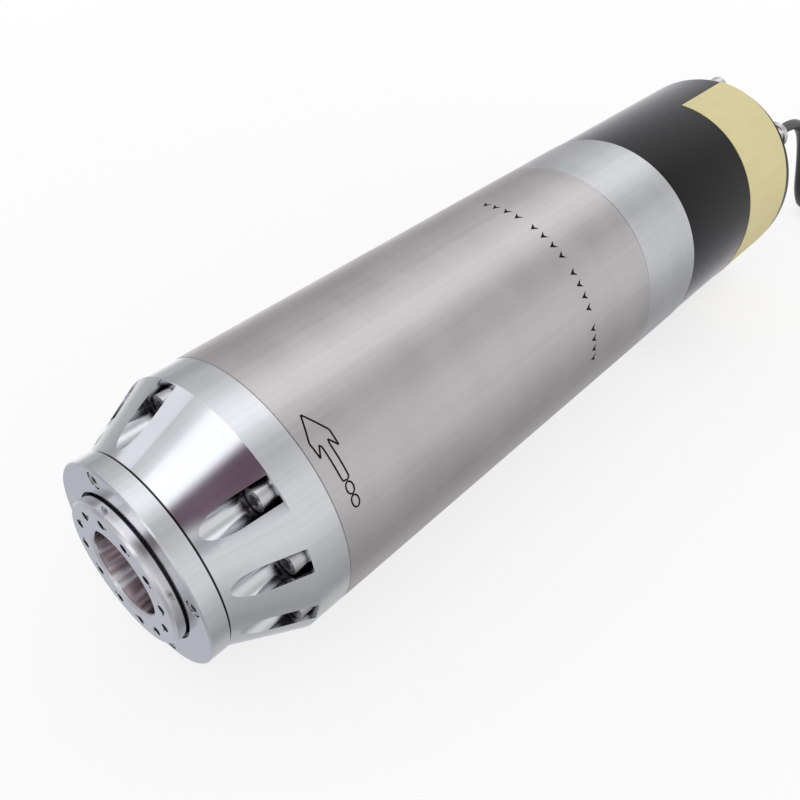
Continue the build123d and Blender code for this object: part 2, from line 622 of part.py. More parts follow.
with BuildPart() as rear_outer_rings:
    for front in REAR_BEARINGS:
        rear, land = front + REAR_WIDTH, REAR_BALL_PCR + RING_LAND
        outer = REAR_OUTER_R - SEAT
        section = bearing_ring(front, rear, land, outer, REAR_BALL_PCR, REAR_BALL_R)
        revolve(section, axis=SPINDLE_AXIS)
rear_outer_rings.part.label = "rear_outer_rings"
export_step(rear_outer_rings.part, "parts/rear_outer_rings.step")

with BuildPart() as rear_inner_rings:
    for front in REAR_BEARINGS:
        rear, land = front + REAR_WIDTH, REAR_BALL_PCR - RING_LAND
        inner = REAR_BORE_R + SEAT
        section = bearing_ring(front, rear, inner, land, REAR_BALL_PCR, REAR_BALL_R)
        revolve(section, axis=SPINDLE_AXIS)
rear_inner_rings.part.label = "rear_inner_rings"
export_step(rear_inner_rings.part, "parts/rear_inner_rings.step")

with BuildPart() as front_ball_cages:
    for front in FRONT_BEARINGS:
        middle = front + FRONT_WIDTH / 2
        inner, outer = FRONT_BALL_PCR - CAGE_HALF, FRONT_BALL_PCR + CAGE_HALF
        cage = ring(middle - FRONT_BALL_R / 2, middle + FRONT_BALL_R / 2, inner, outer)
        revolve(cage, axis=SPINDLE_AXIS)
        for number in range(FRONT_BALLS):
            centre = at_angle(middle, FRONT_BALL_PCR, 360 / FRONT_BALLS * number)
            with Locations(centre):
                Sphere(FRONT_BALL_R)
front_ball_cages.part.label = "front_ball_cages"
export_step(front_ball_cages.part, "parts/front_ball_cages.step")

with BuildPart() as rear_ball_cages:
    for front in REAR_BEARINGS:
        middle = front + REAR_WIDTH / 2
        inner, outer = REAR_BALL_PCR - CAGE_HALF, REAR_BALL_PCR + CAGE_HALF
        cage = ring(middle - REAR_BALL_R / 2, middle + REAR_BALL_R / 2, inner, outer)
        revolve(cage, axis=SPINDLE_AXIS)
        for number in range(REAR_BALLS):
            centre = at_angle(middle, REAR_BALL_PCR, 360 / REAR_BALLS * number)
            with Locations(centre):
                Sphere(REAR_BALL_R)
rear_ball_cages.part.label = "rear_ball_cages"
export_step(rear_ball_cages.part, "parts/rear_ball_cages.step")

with BuildPart() as front_outer_spacer:
    front = BEARING_1 + FRONT_WIDTH
    spacer = ring(front, BEARING_2, FRONT_OUTER_R - SPACER_WALL, FRONT_OUTER_R - SEAT)
    revolve(spacer, axis=SPINDLE_AXIS)
front_outer_spacer.part.label = "front_outer_spacer"
export_step(front_outer_spacer.part, "parts/front_outer_spacer.step")

with BuildPart() as front_inner_spacer:
    front = BEARING_1 + FRONT_WIDTH
    spacer = ring(front, BEARING_2, FRONT_BORE_R + SEAT, FRONT_BORE_R + SPACER_WALL)
    revolve(spacer, axis=SPINDLE_AXIS)
front_inner_spacer.part.label = "front_inner_spacer"
export_step(front_inner_spacer.part, "parts/front_inner_spacer.step")

# ================================================================== the spindle

with BuildPart() as shaft:
    neck_rear = NOSE_DISC_LEN + NECK_LEN
    with BuildSketch(AXIS_PLANE):
        with BuildLine():
            Polyline(
                (0, TAPER_GAUGE_R + MOUTH_CHAMFER),
                (0, NOSE_DISC_R - NOSE_CHAMFER),
                (NOSE_CHAMFER, NOSE_DISC_R),
                (NOSE_DISC_LEN, NOSE_DISC_R),
                (NOSE_DISC_LEN, NECK_R),
                (neck_rear, NECK_R),
                (neck_rear, SHOULDER_R),
                (BEARING_1, SHOULDER_R),
                (BEARING_1, FRONT_BORE_R),
                (FRONT_NUT + FRONT_NUT_LEN, FRONT_BORE_R),
                (FRONT_NUT + FRONT_NUT_LEN, ROTOR_SEAT_R),
                (BEARING_3, ROTOR_SEAT_R),
                (BEARING_3, REAR_BORE_R),
                (SHAFT_END, REAR_BORE_R),
                (SHAFT_END, SPRING_BORE_R),
                (SPRING_FRONT, SPRING_BORE_R),
                (SPRING_FRONT, GRIP_BORE_R),
                (RECESS_END, GRIP_BORE_R),
                (RECESS_END, RECESS_R),
                (TAPER_LEN, RECESS_R),
                (TAPER_LEN, TAPER_END_R),
                (MOUTH_CHAMFER, TAPER_GAUGE_R - MOUTH_CHAMFER * TAPER_RATIO / 2),
                close=True,
            )
        make_face()
    revolve(axis=SPINDLE_AXIS)
    drilled = circle_of_holes(0, NOSE_HOLE_PCR, NOSE_HOLES, NOSE_HOLE_PHASE, NOSE_HOLE_R)
    extrude(drilled, amount=-NOSE_HOLE_DEPTH, mode=Mode.SUBTRACT)
    dimple_phase = NOSE_HOLE_PHASE - DIMPLE_TURN
    dimples = circle_of_holes(0, NOSE_HOLE_PCR, NOSE_HOLES, dimple_phase, DIMPLE_R)
    extrude(dimples, amount=-DIMPLE_DEPTH, mode=Mode.SUBTRACT)
shaft.part.label = "shaft"
export_step(shaft.part, "parts/shaft.step")

with BuildPart() as front_locknut:
    nut_rear = FRONT_NUT + FRONT_NUT_LEN
    revolve(ring(FRONT_NUT, nut_rear, FRONT_BORE_R + SEAT, FRONT_NUT_R), axis=SPINDLE_AXIS)
front_locknut.part.label = "front_locknut"
export_step(front_locknut.part, "parts/front_locknut.step")

with BuildPart() as rear_locknut:
    nut_rear = REAR_NUT + REAR_NUT_LEN
    revolve(ring(REAR_NUT, nut_rear, REAR_BORE_R + SEAT, REAR_NUT_R), axis=SPINDLE_AXIS)
rear_locknut.part.label = "rear_locknut"
export_step(rear_locknut.part, "parts/rear_locknut.step")

with BuildPart() as rotor_core:
    revolve(ring(CORE_FRONT, CORE_REAR, ROTOR_SEAT_R + SEAT, ROTOR_R), axis=SPINDLE_AXIS)
rotor_core.part.label = "rotor_core"
export_step(rotor_core.part, "parts/rotor_core.step")

with BuildPart() as rotor_end_rings:
    for front in (CORE_FRONT - END_RING_LEN, CORE_REAR):
        end_ring = ring(front, front + END_RING_LEN, ROTOR_SEAT_R + SEAT, END_RING_R)
        revolve(end_ring, axis=SPINDLE_AXIS)
rotor_end_rings.part.label = "rotor_end_rings"
export_step(rotor_end_rings.part, "parts/rotor_end_rings.step")

WHEEL_FRONT = SHAFT_END - WHEEL_OFFSET

with BuildPart() as sensor_wheel:
    wheel_rear = WHEEL_FRONT + WHEEL_LEN
    revolve(ring(WHEEL_FRONT, wheel_rear, REAR_BORE_R + SEAT, WHEEL_R), axis=SPINDLE_AXIS)
    with BuildSketch(station(wheel_rear)):
        with PolarLocations(WHEEL_R, WHEEL_TEETH):
            Rectangle(WHEEL_NOTCH, WHEEL_NOTCH * 2)
    extrude(amount=WHEEL_LEN, mode=Mode.SUBTRACT)
sensor_wheel.part.label = "sensor_wheel"
export_step(sensor_wheel.part, "parts/sensor_wheel.step")

# ================================================================== drawbar and gripper

GROOVE_FRONT = TAPER_LEN + PETAL_FRONT_GAP + PETAL_LEN - PETAL_FOOT_LEN - ROD_GROOVE_PLAY
GROOVE_REAR = GROOVE_FRONT + PETAL_FOOT_LEN + 2 * ROD_GROOVE_PLAY
ROD_END = SPRING_REAR + ROD_THREAD_LEN

with BuildPart() as drawbar_rod:
    with BuildSketch(AXIS_PLANE):
        with BuildLine():
            Polyline(
                (GROOVE_FRONT - ROD_HEAD_LEN, 0),
                (GROOVE_FRONT - ROD_HEAD_LEN, ROD_HEAD_R),
                (GROOVE_FRONT, ROD_HEAD_R),
                (GROOVE_FRONT, ROD_GROOVE_R),
                (GROOVE_REAR, ROD_GROOVE_R),
                (GROOVE_REAR, ROD_FLANGE_R),
                (GROOVE_REAR + ROD_FLANGE_LEN, ROD_FLANGE_R),
                (GROOVE_REAR + ROD_FLANGE_LEN, ROD_R),
                (ROD_END, ROD_R),
                (ROD_END, 0),
                close=True,
            )
        make_face()
    revolve(axis=SPINDLE_AXIS)
drawbar_rod.part.label = "drawbar_rod"
export_step(drawbar_rod.part, "parts/drawbar_rod.step")

with BuildPart() as drawbar_nut:
    collar_rear = SPRING_REAR + COLLAR_LEN
    bore_r = ROD_R + SEAT
    with BuildSketch(AXIS_PLANE):
        with BuildLine():
            Polyline(
                (SPRING_REAR, bore_r),
                (SPRING_REAR, SPRING_BORE_R - SLIDE),
                (collar_rear, SPRING_BORE_R - SLIDE),
                (collar_rear, TAIL_R),
                (TAIL_END, TAIL_R),
                (TAIL_END, 0),
                (ROD_END + FACE_GAP, 0),
                (ROD_END + FACE_GAP, bore_r),
                close=True,
            )
        make_face()
    revolve(axis=SPINDLE_AXIS)
drawbar_nut.part.label = "drawbar_nut"
export_step(drawbar_nut.part, "parts/drawbar_nut.step")

# The disc springs stand in pairs, back to back, and touch at their rims in turn.
with BuildPart() as disc_springs:
    pitch = STACK_SPRING_LEN / DISCS
    bore_r = ROD_R + AIR
    for number in range(DISCS):
        front = SPRING_FRONT + number * pitch
        rim, bore = (front, front + pitch - DISC_T)
        if number % 2:
            rim, bore = bore, rim
        revolve(
            turned(
                (bore, bore_r),
                (bore + DISC_T, bore_r),
                (rim + DISC_T, STACK_SPRING_R),
                (rim, STACK_SPRING_R),
            ),
            axis=SPINDLE_AXIS,
        )
disc_springs.part.label = "disc_springs"
export_step(disc_springs.part, "parts/disc_springs.step")

PETAL_FRONT = TAPER_LEN + PETAL_FRONT_GAP
PETAL_REAR = PETAL_FRONT + PETAL_LEN
LIP_REAR = PETAL_FRONT + PETAL_HEAD_LEN / 2
HEAD_REAR = PETAL_FRONT + PETAL_HEAD_LEN

for number in range(PETALS):
    middle = 360 / PETALS * (number + 0.5)
    with BuildPart() as gripper_petal:
        with BuildSketch(AXIS_PLANE):
            with BuildLine():
                Polyline(
                    (PETAL_FRONT, PETAL_LIP_R + PETAL_BEVEL),
                    (PETAL_FRONT + PETAL_BEVEL, PETAL_LIP_R),
                    (LIP_REAR, PETAL_LIP_R),
                    (LIP_REAR + PETAL_BEVEL, PETAL_ARM_BORE_R),
                    (PETAL_REAR - PETAL_FOOT_LEN, PETAL_ARM_BORE_R),
                    (PETAL_REAR - PETAL_FOOT_LEN, PETAL_FOOT_BORE_R),
                    (PETAL_REAR, PETAL_FOOT_BORE_R),
                    (PETAL_REAR, PETAL_ARM_R),
                    (HEAD_REAR + PETAL_BEVEL, PETAL_ARM_R),
                    (HEAD_REAR, PETAL_HEAD_R),
                    (PETAL_FRONT, PETAL_HEAD_R),
                    close=True,
                )
            make_face()
        revolve(axis=SPINDLE_AXIS, revolution_arc=PETAL_SPAN)
    # the arc starts at +Z and turns about +Y, so the petal is set to its own quarter
    petal = gripper_petal.part.rotate(SPINDLE_AXIS, 90 - middle - PETAL_SPAN / 2)
    petal.label = f"gripper_petal_{number + 1}"
    export_step(petal, f"parts/gripper_petal_{number + 1}.step")

# ================================================================== pneumatic cylinder

LABEL_FRONT = CAP_REAR - LABEL_REAR_GAP - LABEL_W
PROBE_STATION = WHEEL_FRONT + WHEEL_LEN / 2


def rod_seal_groove(front):
    """Half-section of the seal groove in a plate that the piston rod passes through."""
    rear = front + PISTON_SEAL_W + SEAT
    return ring(front - SEAT, rear, PISTON_ROD_R, PISTON_ROD_R + PISTON_SEAL_T)


with BuildPart() as cylinder_housing:
    with BuildSketch(AXIS_PLANE):
        with BuildLine():
            Polyline(
                (RING_REAR, CYLINDER_BORE_R),
                (WALL_FRONT, CYLINDER_BORE_R),
                (WALL_FRONT, PISTON_ROD_R + SLIDE),
                (WALL_REAR, PISTON_ROD_R + SLIDE),
                (WALL_REAR, CYLINDER_BORE_R),
                (CAP_FRONT, CYLINDER_BORE_R),
                (CAP_FRONT, CYLINDER_R),
                (RING_REAR + SEAM_CHAMFER, CYLINDER_R),
                (RING_REAR, CYLINDER_R - SEAM_CHAMFER),
                close=True,
            )
        make_face()
    revolve(axis=SPINDLE_AXIS)
    holes = circle_of_holes(CAP_FRONT, *TIE_CIRCLE, M4_R + SCREW_CLEARANCE)
    extrude(holes, amount=CYLINDER_LEN, mode=Mode.SUBTRACT)
    rod_groove = (WALL_FRONT + WALL_REAR - PISTON_SEAL_W) / 2
    revolve(rod_seal_groove(rod_groove), axis=SPINDLE_AXIS, mode=Mode.SUBTRACT)
cylinder_housing.part.label = "cylinder_housing"
export_step(cylinder_housing.part, "parts/cylinder_housing.step")

with BuildPart() as divider_plate:
    plate = ring(DIVIDER_FRONT, DIVIDER_REAR, PISTON_ROD_R + SLIDE, CYLINDER_BORE_R - SEAT)
    revolve(plate, axis=SPINDLE_AXIS)
    plate_groove = (DIVIDER_FRONT + DIVIDER_REAR - PISTON_SEAL_W) / 2
    revolve(rod_seal_groove(plate_groove), axis=SPINDLE_AXIS, mode=Mode.SUBTRACT)
divider_plate.part.label = "divider_plate"
export_step(divider_plate.part, "parts/divider_plate.step")

with BuildPart() as rod_seals:
    for front in (rod_groove, plate_groove):
        outer = PISTON_ROD_R + PISTON_SEAL_T - SEAT
        revolve(ring(front, front + PISTON_SEAL_W, PISTON_ROD_R + SLIDE, outer), axis=SPINDLE_AXIS)
rod_seals.part.label = "rod_seals"
export_step(rod_seals.part, "parts/rod_seals.step")

PISTON_SEAT_R = PISTON_ROD_R - PISTON_ROD_STEP
PISTON_SEAL_FRONTS = [rear - (PISTON_LEN + PISTON_SEAL_W) / 2 for rear in PISTON_REARS]

with BuildPart() as piston_rod:
    with BuildSketch(station(PISTON_REARS[1])):
        Circle(PISTON_ROD_R)
    extrude(amount=PISTON_REARS[1] - ROD_FRONT_FACE)
    for rear in PISTON_REARS:
        recess = ring(rear - PISTON_LEN, rear, PISTON_SEAT_R, BODY_R)
        revolve(recess, axis=SPINDLE_AXIS, mode=Mode.SUBTRACT)
piston_rod.part.label = "piston_rod"
export_step(piston_rod.part, "parts/piston_rod.step")

with BuildPart() as pistons:
    for rear, seal_front in zip(PISTON_REARS, PISTON_SEAL_FRONTS):
        disc = ring(rear - PISTON_LEN, rear, PISTON_SEAT_R + SEAT, CYLINDER_BORE_R - SLIDE)
        revolve(disc, axis=SPINDLE_AXIS)
        seal_rear = seal_front + PISTON_SEAL_W
        groove = ring(seal_front - SEAT, seal_rear + SEAT, CYLINDER_BORE_R - PISTON_SEAL_T, BODY_R)
        revolve(groove, axis=SPINDLE_AXIS, mode=Mode.SUBTRACT)
pistons.part.label = "pistons"
export_step(pistons.part, "parts/pistons.step")

with BuildPart() as piston_seals:
    for front in PISTON_SEAL_FRONTS:
        inner = CYLINDER_BORE_R - PISTON_SEAL_T + SEAT
        revolve(ring(front, front + PISTON_SEAL_W, inner, CYLINDER_BORE_R - SLIDE), axis=SPINDLE_AXIS)
piston_seals.part.label = "piston_seals"
export_step(piston_seals.part, "parts/piston_seals.step")

with BuildPart() as sensor_carrier:
    outer = CYLINDER_BORE_R - SEAT
    revolve(ring(RING_REAR, RING_REAR + CARRIER_LEN, outer - CARRIER_WALL, outer), axis=SPINDLE_AXIS)
    middle = (0, NOSE_Y + PROBE_STATION, AXIS_Z)
    with BuildSketch(Plane(origin=middle, x_dir=(1, 0, 0), z_dir=(0, 0, 1))):
        Circle(PROBE_R + SEAT)
    extrude(amount=CYLINDER_BORE_R, both=True, mode=Mode.SUBTRACT)
sensor_carrier.part.label = "sensor_carrier"
export_step(sensor_carrier.part, "parts/sensor_carrier.step")

with BuildPart() as sensor_probes:
    for side in (1, -1):
        tip = (0, NOSE_Y + PROBE_STATION, AXIS_Z + side * PROBE_TIP_R)
        with BuildSketch(Plane(origin=tip, x_dir=(1, 0, 0), z_dir=(0, 0, side))):
            Circle(PROBE_R)
        extrude(amount=CYLINDER_BORE_R - PROBE_SINK - PROBE_TIP_R)
sensor_probes.part.label = "sensor_probes"
export_step(sensor_probes.part, "parts/sensor_probes.step")

PORT_ANGLES = AIR_PORT_ANGLES + WATER_PORT_ANGLES

with BuildPart() as cylinder_cap:
    with BuildSketch(AXIS_PLANE):
        with BuildLine():
            Polyline(
                (CAP_FRONT, 0),
                (CAP_FRONT, CYLINDER_R),
                (CAP_REAR - CAP_CHAMFER, CYLINDER_R),
                (CAP_REAR, CYLINDER_R - CAP_CHAMFER),
                (CAP_REAR, 0),
                close=True,
            )
        make_face()
    revolve(axis=SPINDLE_AXIS)
    sink = circle_of_holes(CAP_REAR, *TIE_CIRCLE, M4_HEAD_R + HEAD_CLEARANCE)
    extrude(sink, amount=M4_HEAD_LEN + AIR, mode=Mode.SUBTRACT)
    holes = circle_of_holes(CAP_REAR, *TIE_CIRCLE, M4_R + SCREW_CLEARANCE)
    extrude(holes, amount=CAP_LEN, mode=Mode.SUBTRACT)
    for angle in PORT_ANGLES:
        with BuildSketch(at_angle(CAP_REAR, PORT_PCR, angle)):
            Circle(PORT_THREAD_R + SEAT)
        extrude(amount=PORT_THREAD_LEN + FACE_GAP, mode=Mode.SUBTRACT)
    with BuildSketch(at_angle(CAP_REAR, GLAND_PCR, GLAND_ANGLE)):
        Circle(GLAND_THREAD_R + SEAT)
    extrude(amount=GLAND_THREAD_LEN + FACE_GAP, mode=Mode.SUBTRACT)
cylinder_cap.part.label = "cylinder_cap"
export_step(cylinder_cap.part, "parts/cylinder_cap.step")

TIE_SCREW_FACE = CAP_REAR - M4_HEAD_LEN - AIR

with BuildPart() as tie_screws:
    heads = circle_of_holes(TIE_SCREW_FACE, *TIE_CIRCLE, M4_HEAD_R)
    extrude(heads, amount=-M4_HEAD_LEN)
    shanks = circle_of_holes(TIE_SCREW_FACE, *TIE_CIRCLE, M4_R)
    extrude(shanks, amount=TIE_SCREW_FACE - RING_REAR + TIE_THREAD_LEN)
    keys = circle_of_keys(TIE_SCREW_FACE + M4_HEAD_LEN, *TIE_CIRCLE, M4_KEY_R)
    extrude(keys, amount=M4_HEAD_LEN * KEY_DEPTH_SHARE, mode=Mode.SUBTRACT)
tie_screws.part.label = "tie_screws"
export_step(tie_screws.part, "parts/tie_screws.step")

# ================================================================== label, fittings and gland

LABEL_MIDDLE = math.radians(LABEL_START - LABEL_SPAN / 2)


def label_edge(distance):
    """Oblique cutting plane of the label, whose normal points to the rear."""
    lean = math.tan(math.radians(LABEL_TILT))
    rise = (-lean * math.sin(-LABEL_MIDDLE), 1, -lean * math.cos(LABEL_MIDDLE))
    return Plane(origin=(0, NOSE_Y + distance, AXIS_Z), z_dir=rise)


with BuildPart() as wrap_label:
    blank = ring(LABEL_FRONT - LABEL_W / 2, CAP_REAR - CAP_CHAMFER, CYLINDER_R + SEAT, BODY_R)
    revolve(blank, axis=SPINDLE_AXIS, revolution_arc=LABEL_SPAN)
    split(bisect_by=label_edge(LABEL_FRONT), keep=Keep.TOP)
    split(bisect_by=label_edge(LABEL_FRONT + LABEL_W), keep=Keep.BOTTOM)
wrap_label.part.label = "wrap_label"
export_step(wrap_label.part, "parts/wrap_label.step")

with BuildPart() as air_fittings:
    for angle in AIR_PORT_ANGLES:
        with BuildSketch(at_angle(CAP_REAR, PORT_PCR, angle)):
            Circle(PORT_THREAD_R)
        extrude(amount=PORT_THREAD_LEN)
        with BuildSketch(at_angle(CAP_REAR, PORT_PCR, angle)):
            RegularPolygon(PORT_HEX_R, 6)
        extrude(amount=-PORT_HEX_LEN)
        with BuildSketch(at_angle(CAP_REAR + PORT_HEX_LEN, PORT_PCR, angle)):
            Circle(PORT_SLEEVE_R)
        extrude(amount=-PORT_SLEEVE_LEN)
    mouth = CAP_REAR + PORT_HEX_LEN + PORT_SLEEVE_LEN
    fillet(air_fittings.edges().filter_by(GeomType.CIRCLE).group_by(Axis.Y)[-1], PORT_EDGE)
    for angle in AIR_PORT_ANGLES:
        with BuildSketch(at_angle(mouth, PORT_PCR, angle)):
            Circle(AIR_HOLE_R)
        extrude(amount=PORT_SLEEVE_LEN, mode=Mode.SUBTRACT)
air_fittings.part.label = "air_fittings"
export_step(air_fittings.part, "parts/air_fittings.step")

with BuildPart() as water_fittings:
    for angle in WATER_PORT_ANGLES:
        with BuildSketch(at_angle(CAP_REAR, PORT_PCR, angle)):
            Circle(PORT_THREAD_R)
        extrude(amount=PORT_THREAD_LEN)
        with BuildSketch(at_angle(CAP_REAR, PORT_PCR, angle)):
            RegularPolygon(PORT_HEX_R, 6)
        extrude(amount=-PORT_HEX_LEN)
        with BuildSketch(at_angle(CAP_REAR + PORT_HEX_LEN, PORT_PCR, angle)):
            Circle(BARB_R - BARB_STEP)
        extrude(amount=-BARB_LEN / 2)
        with BuildSketch(at_angle(CAP_REAR + PORT_HEX_LEN + BARB_LEN / 2, PORT_PCR, angle)):
            Circle(BARB_R)
        extrude(amount=-BARB_LEN / 2, taper=math.degrees(math.atan(BARB_STEP * 2 / BARB_LEN)))
        with BuildSketch(at_angle(CAP_REAR + PORT_HEX_LEN + BARB_LEN, PORT_PCR, angle)):
            Circle(WATER_HOLE_R)
        extrude(amount=BARB_LEN, mode=Mode.SUBTRACT)
water_fittings.part.label = "water_fittings"
export_step(water_fittings.part, "parts/water_fittings.step")

GLAND_NUT_FRONT = CAP_REAR + GLAND_HEX_LEN

with BuildPart() as gland_body:
    with BuildSketch(at_angle(CAP_REAR, GLAND_PCR, GLAND_ANGLE)):
        Circle(GLAND_THREAD_R)
    extrude(amount=GLAND_THREAD_LEN)
    with BuildSketch(at_angle(CAP_REAR, GLAND_PCR, GLAND_ANGLE)):
        RegularPolygon(GLAND_HEX_R, 6)
    extrude(amount=-GLAND_HEX_LEN)
gland_body.part.label = "gland_body"
export_step(gland_body.part, "parts/gland_body.step")

with BuildPart() as gland_nut:
    nut_straight = GLAND_NUT_LEN / 3
    with BuildSketch(at_angle(GLAND_NUT_FRONT, GLAND_PCR, GLAND_ANGLE)):
        Circle(GLAND_NUT_R)
    extrude(amount=-nut_straight)
    with BuildSketch(at_angle(GLAND_NUT_FRONT + nut_straight, GLAND_PCR, GLAND_ANGLE)):
        Circle(GLAND_NUT_R)
    with BuildSketch(at_angle(GLAND_END, GLAND_PCR, GLAND_ANGLE)):
        Circle(GLAND_MOUTH_R)
    loft()
gland_nut.part.label = "gland_nut"
export_step(gland_nut.part, "parts/gland_nut.step")

# ================================================================== cable

gland_turn = math.radians(GLAND_ANGLE)
TURN_OUT = COIL_R + 2 * CABLE_R  # radius of the outermost turn
EXIT_X = GLAND_PCR * math.cos(gland_turn)
EXIT_Y = NOSE_Y + GLAND_END
EXIT_Z = AXIS_Z + GLAND_PCR * math.sin(gland_turn)
EXIT = (EXIT_X, EXIT_Y, EXIT_Z)
COIL_ENTRY = (COIL_X - TURN_OUT, COIL_Y, CABLE_R)
CABLE_ROUTE = [
    EXIT,
    (EXIT_X, EXIT_Y + CABLE_STRAIGHT, EXIT_Z),
    (32.0, 232.5, 65.0),
    (33.0, 246.0, 42.0),
    (34.0, 256.5, 19.0),
    (COIL_ENTRY[0], COIL_ENTRY[1] - COIL_LEAD, CABLE_R),
    COIL_ENTRY,
]


def route_radii(points):
    """Arc radius at each inner point: 0.45 of the shorter run, over the tangent of half the turn."""
    radii = []
    for before, here, after in zip(points, points[1:], points[2:]):
        run_in, run_out = Vector(here) - Vector(before), Vector(after) - Vector(here)
        half_turn = math.radians(run_in.get_angle(run_out)) / 2
        radii.append(0.45 * min(run_in.length, run_out.length) / math.tan(half_turn))
    return radii


cable_radii = route_radii(CABLE_ROUTE)
print("cable arc radii", [round(radius, 1) for radius in cable_radii])

with BuildPart() as cable_tube:
    with BuildLine() as cable_path:
        FilletPolyline(*CABLE_ROUTE, radius=cable_radii)
    with BuildSketch(Plane(origin=EXIT, x_dir=(1, 0, 0), z_dir=(0, 1, 0))):
        Circle(CABLE_R)
    sweep()
cable_tube.part.label = "cable_tube"
export_step(cable_tube.part, "parts/cable_tube.step")
tube_length = cable_path.wires()[0].length
print("cable tube length", round(tube_length, 1))
print("cable tube volume", round(cable_tube.part.volume), round(math.pi * CABLE_R**2 * tube_length))

with BuildPart() as cable_coil:
    inner, outer = COIL_R - COIL_WIDTH / 2, COIL_R + COIL_WIDTH / 2
    with BuildSketch(Plane(origin=(COIL_X, COIL_Y, 0), x_dir=(1, 0, 0), z_dir=(0, -1, 0))):
        with BuildLine():
            Polyline(
                (inner + COIL_EDGE, 0),
                (outer - COIL_EDGE, 0),
                (outer, COIL_EDGE),
                (outer, COIL_HEIGHT - COIL_EDGE),
                (outer - COIL_EDGE, COIL_HEIGHT),
                (inner + COIL_EDGE, COIL_HEIGHT),
                (inner, COIL_HEIGHT - COIL_EDGE),
                (inner, COIL_EDGE),
                close=True,
            )
        make_face()
    revolve(axis=Axis((COIL_X, COIL_Y, 0), (0, 0, 1)))
cable_coil.part.label = "cable_coil"
export_step(cable_coil.part, "parts/cable_coil.step")

TAIL_X = COIL_X + TURN_OUT
PLUG_BACK = COIL_Y - TAIL_RUN

with BuildPart() as cable_tail:
    with BuildSketch(Plane(origin=(TAIL_X, COIL_Y, PLUG_R), x_dir=(1, 0, 0), z_dir=(0, -1, 0))):
        Circle(CABLE_R)
    extrude(amount=TAIL_RUN)
cable_tail.part.label = "cable_tail"
export_step(cable_tail.part, "parts/cable_tail.step")

with BuildPart() as cable_plug:
    plug_plane = Plane(origin=(TAIL_X, PLUG_BACK, PLUG_R), x_dir=(0, -1, 0), z_dir=(1, 0, 0))
    barrel_front = PLUG_BOOT_LEN + PLUG_LEN
    with BuildSketch(plug_plane):
        with BuildLine():
            Polyline(
                (0, 0),
                (0, PLUG_BOOT_R),
                (PLUG_BOOT_LEN, PLUG_BOOT_R),
                (PLUG_BOOT_LEN, PLUG_R),
                (barrel_front, PLUG_R),
                (barrel_front, PLUG_PIN_R),
                (barrel_front + PLUG_PIN_LEN, PLUG_PIN_R),
                (barrel_front + PLUG_PIN_LEN, 0),
                close=True,
            )
        make_face()
    revolve(axis=Axis((TAIL_X, PLUG_BACK, PLUG_R), (0, -1, 0)))
cable_plug.part.label = "cable_plug"
export_step(cable_plug.part, "parts/cable_plug.step")
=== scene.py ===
"""Looks of the motor spindle: finishes, engraved marks and cable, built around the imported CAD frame.

Lengths are in metres. A station is a distance from the nose face along the spindle, and angles
turn about the spindle axis from +X towards +Z, as in the part's own source.
"""

import json
import math

import bmesh
import bpy
from mathutils import Matrix, Vector


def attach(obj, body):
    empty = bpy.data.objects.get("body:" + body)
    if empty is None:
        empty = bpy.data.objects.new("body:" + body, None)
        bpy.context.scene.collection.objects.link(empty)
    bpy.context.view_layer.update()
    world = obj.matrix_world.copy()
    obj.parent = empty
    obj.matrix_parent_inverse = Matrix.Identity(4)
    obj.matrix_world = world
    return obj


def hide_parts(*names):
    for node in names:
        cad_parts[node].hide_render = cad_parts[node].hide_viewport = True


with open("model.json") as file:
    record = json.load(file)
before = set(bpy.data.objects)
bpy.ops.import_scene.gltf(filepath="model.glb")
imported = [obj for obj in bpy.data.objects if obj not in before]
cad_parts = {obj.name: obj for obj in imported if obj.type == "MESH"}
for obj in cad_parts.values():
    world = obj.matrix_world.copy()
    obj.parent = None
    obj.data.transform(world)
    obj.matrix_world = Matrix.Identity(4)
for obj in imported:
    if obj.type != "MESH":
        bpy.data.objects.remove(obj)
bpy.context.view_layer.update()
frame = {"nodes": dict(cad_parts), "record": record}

MM = 0.001
NOSE_Y = -0.1955
AXIS_Z = 0.05
BODY_R = 0.05

# ------------------------------------------------------------------ camera

CAMERA_AT = (0.17288, -0.25484, 0.26494)
CAMERA_RIGHT = Vector((0.73580, 0.67720, 0.0))
CAMERA_UP = Vector((-0.44832, 0.48712, 0.74948))
CAMERA_LOOK = Vector((-0.50755, 0.55147, -0.66202))

camera_data = bpy.data.cameras.new("camera")
camera_data.lens = 37.81
camera_data.sensor_width = 36.0
camera_data.clip_start = 0.01
camera = bpy.data.objects.new("camera", camera_data)
axes = Matrix((CAMERA_RIGHT, CAMERA_UP, -CAMERA_LOOK)).transposed()
camera.matrix_world = Matrix.Translation(CAMERA_AT) @ axes.to_4x4()
bpy.context.collection.objects.link(camera)
bpy.context.scene.camera = camera

# ------------------------------------------------------------------ cable

CABLE_D = 0.0055
CABLE_EXIT = (0.03132, 0.1955, 0.07723)
CABLE_ROUTE = [
    CABLE_EXIT,
    (0.03132, 0.2145, 0.07723),
    (0.0320, 0.2325, 0.0650),
    (0.0330, 0.2460, 0.0420),
    (0.0340, 0.2565, 0.0190),
    (0.0345, 0.2740, 0.00275),
]
COIL_X, COIL_Y = 0.070, 0.300
TURN_RADII = (0.0355, 0.0300, 0.0245)  # outer, middle and inner turn of a layer
LOWER_Z, UPPER_Z = 0.00275, 0.0085
POINTS_PER_TURN = 16
TURNS = 6.5
TAIL_Z = 0.009
PLUG_BACK_Y = 0.2760
PLUG_SIDE_Y = 0.290  # where the tail leaves the coil towards the plug


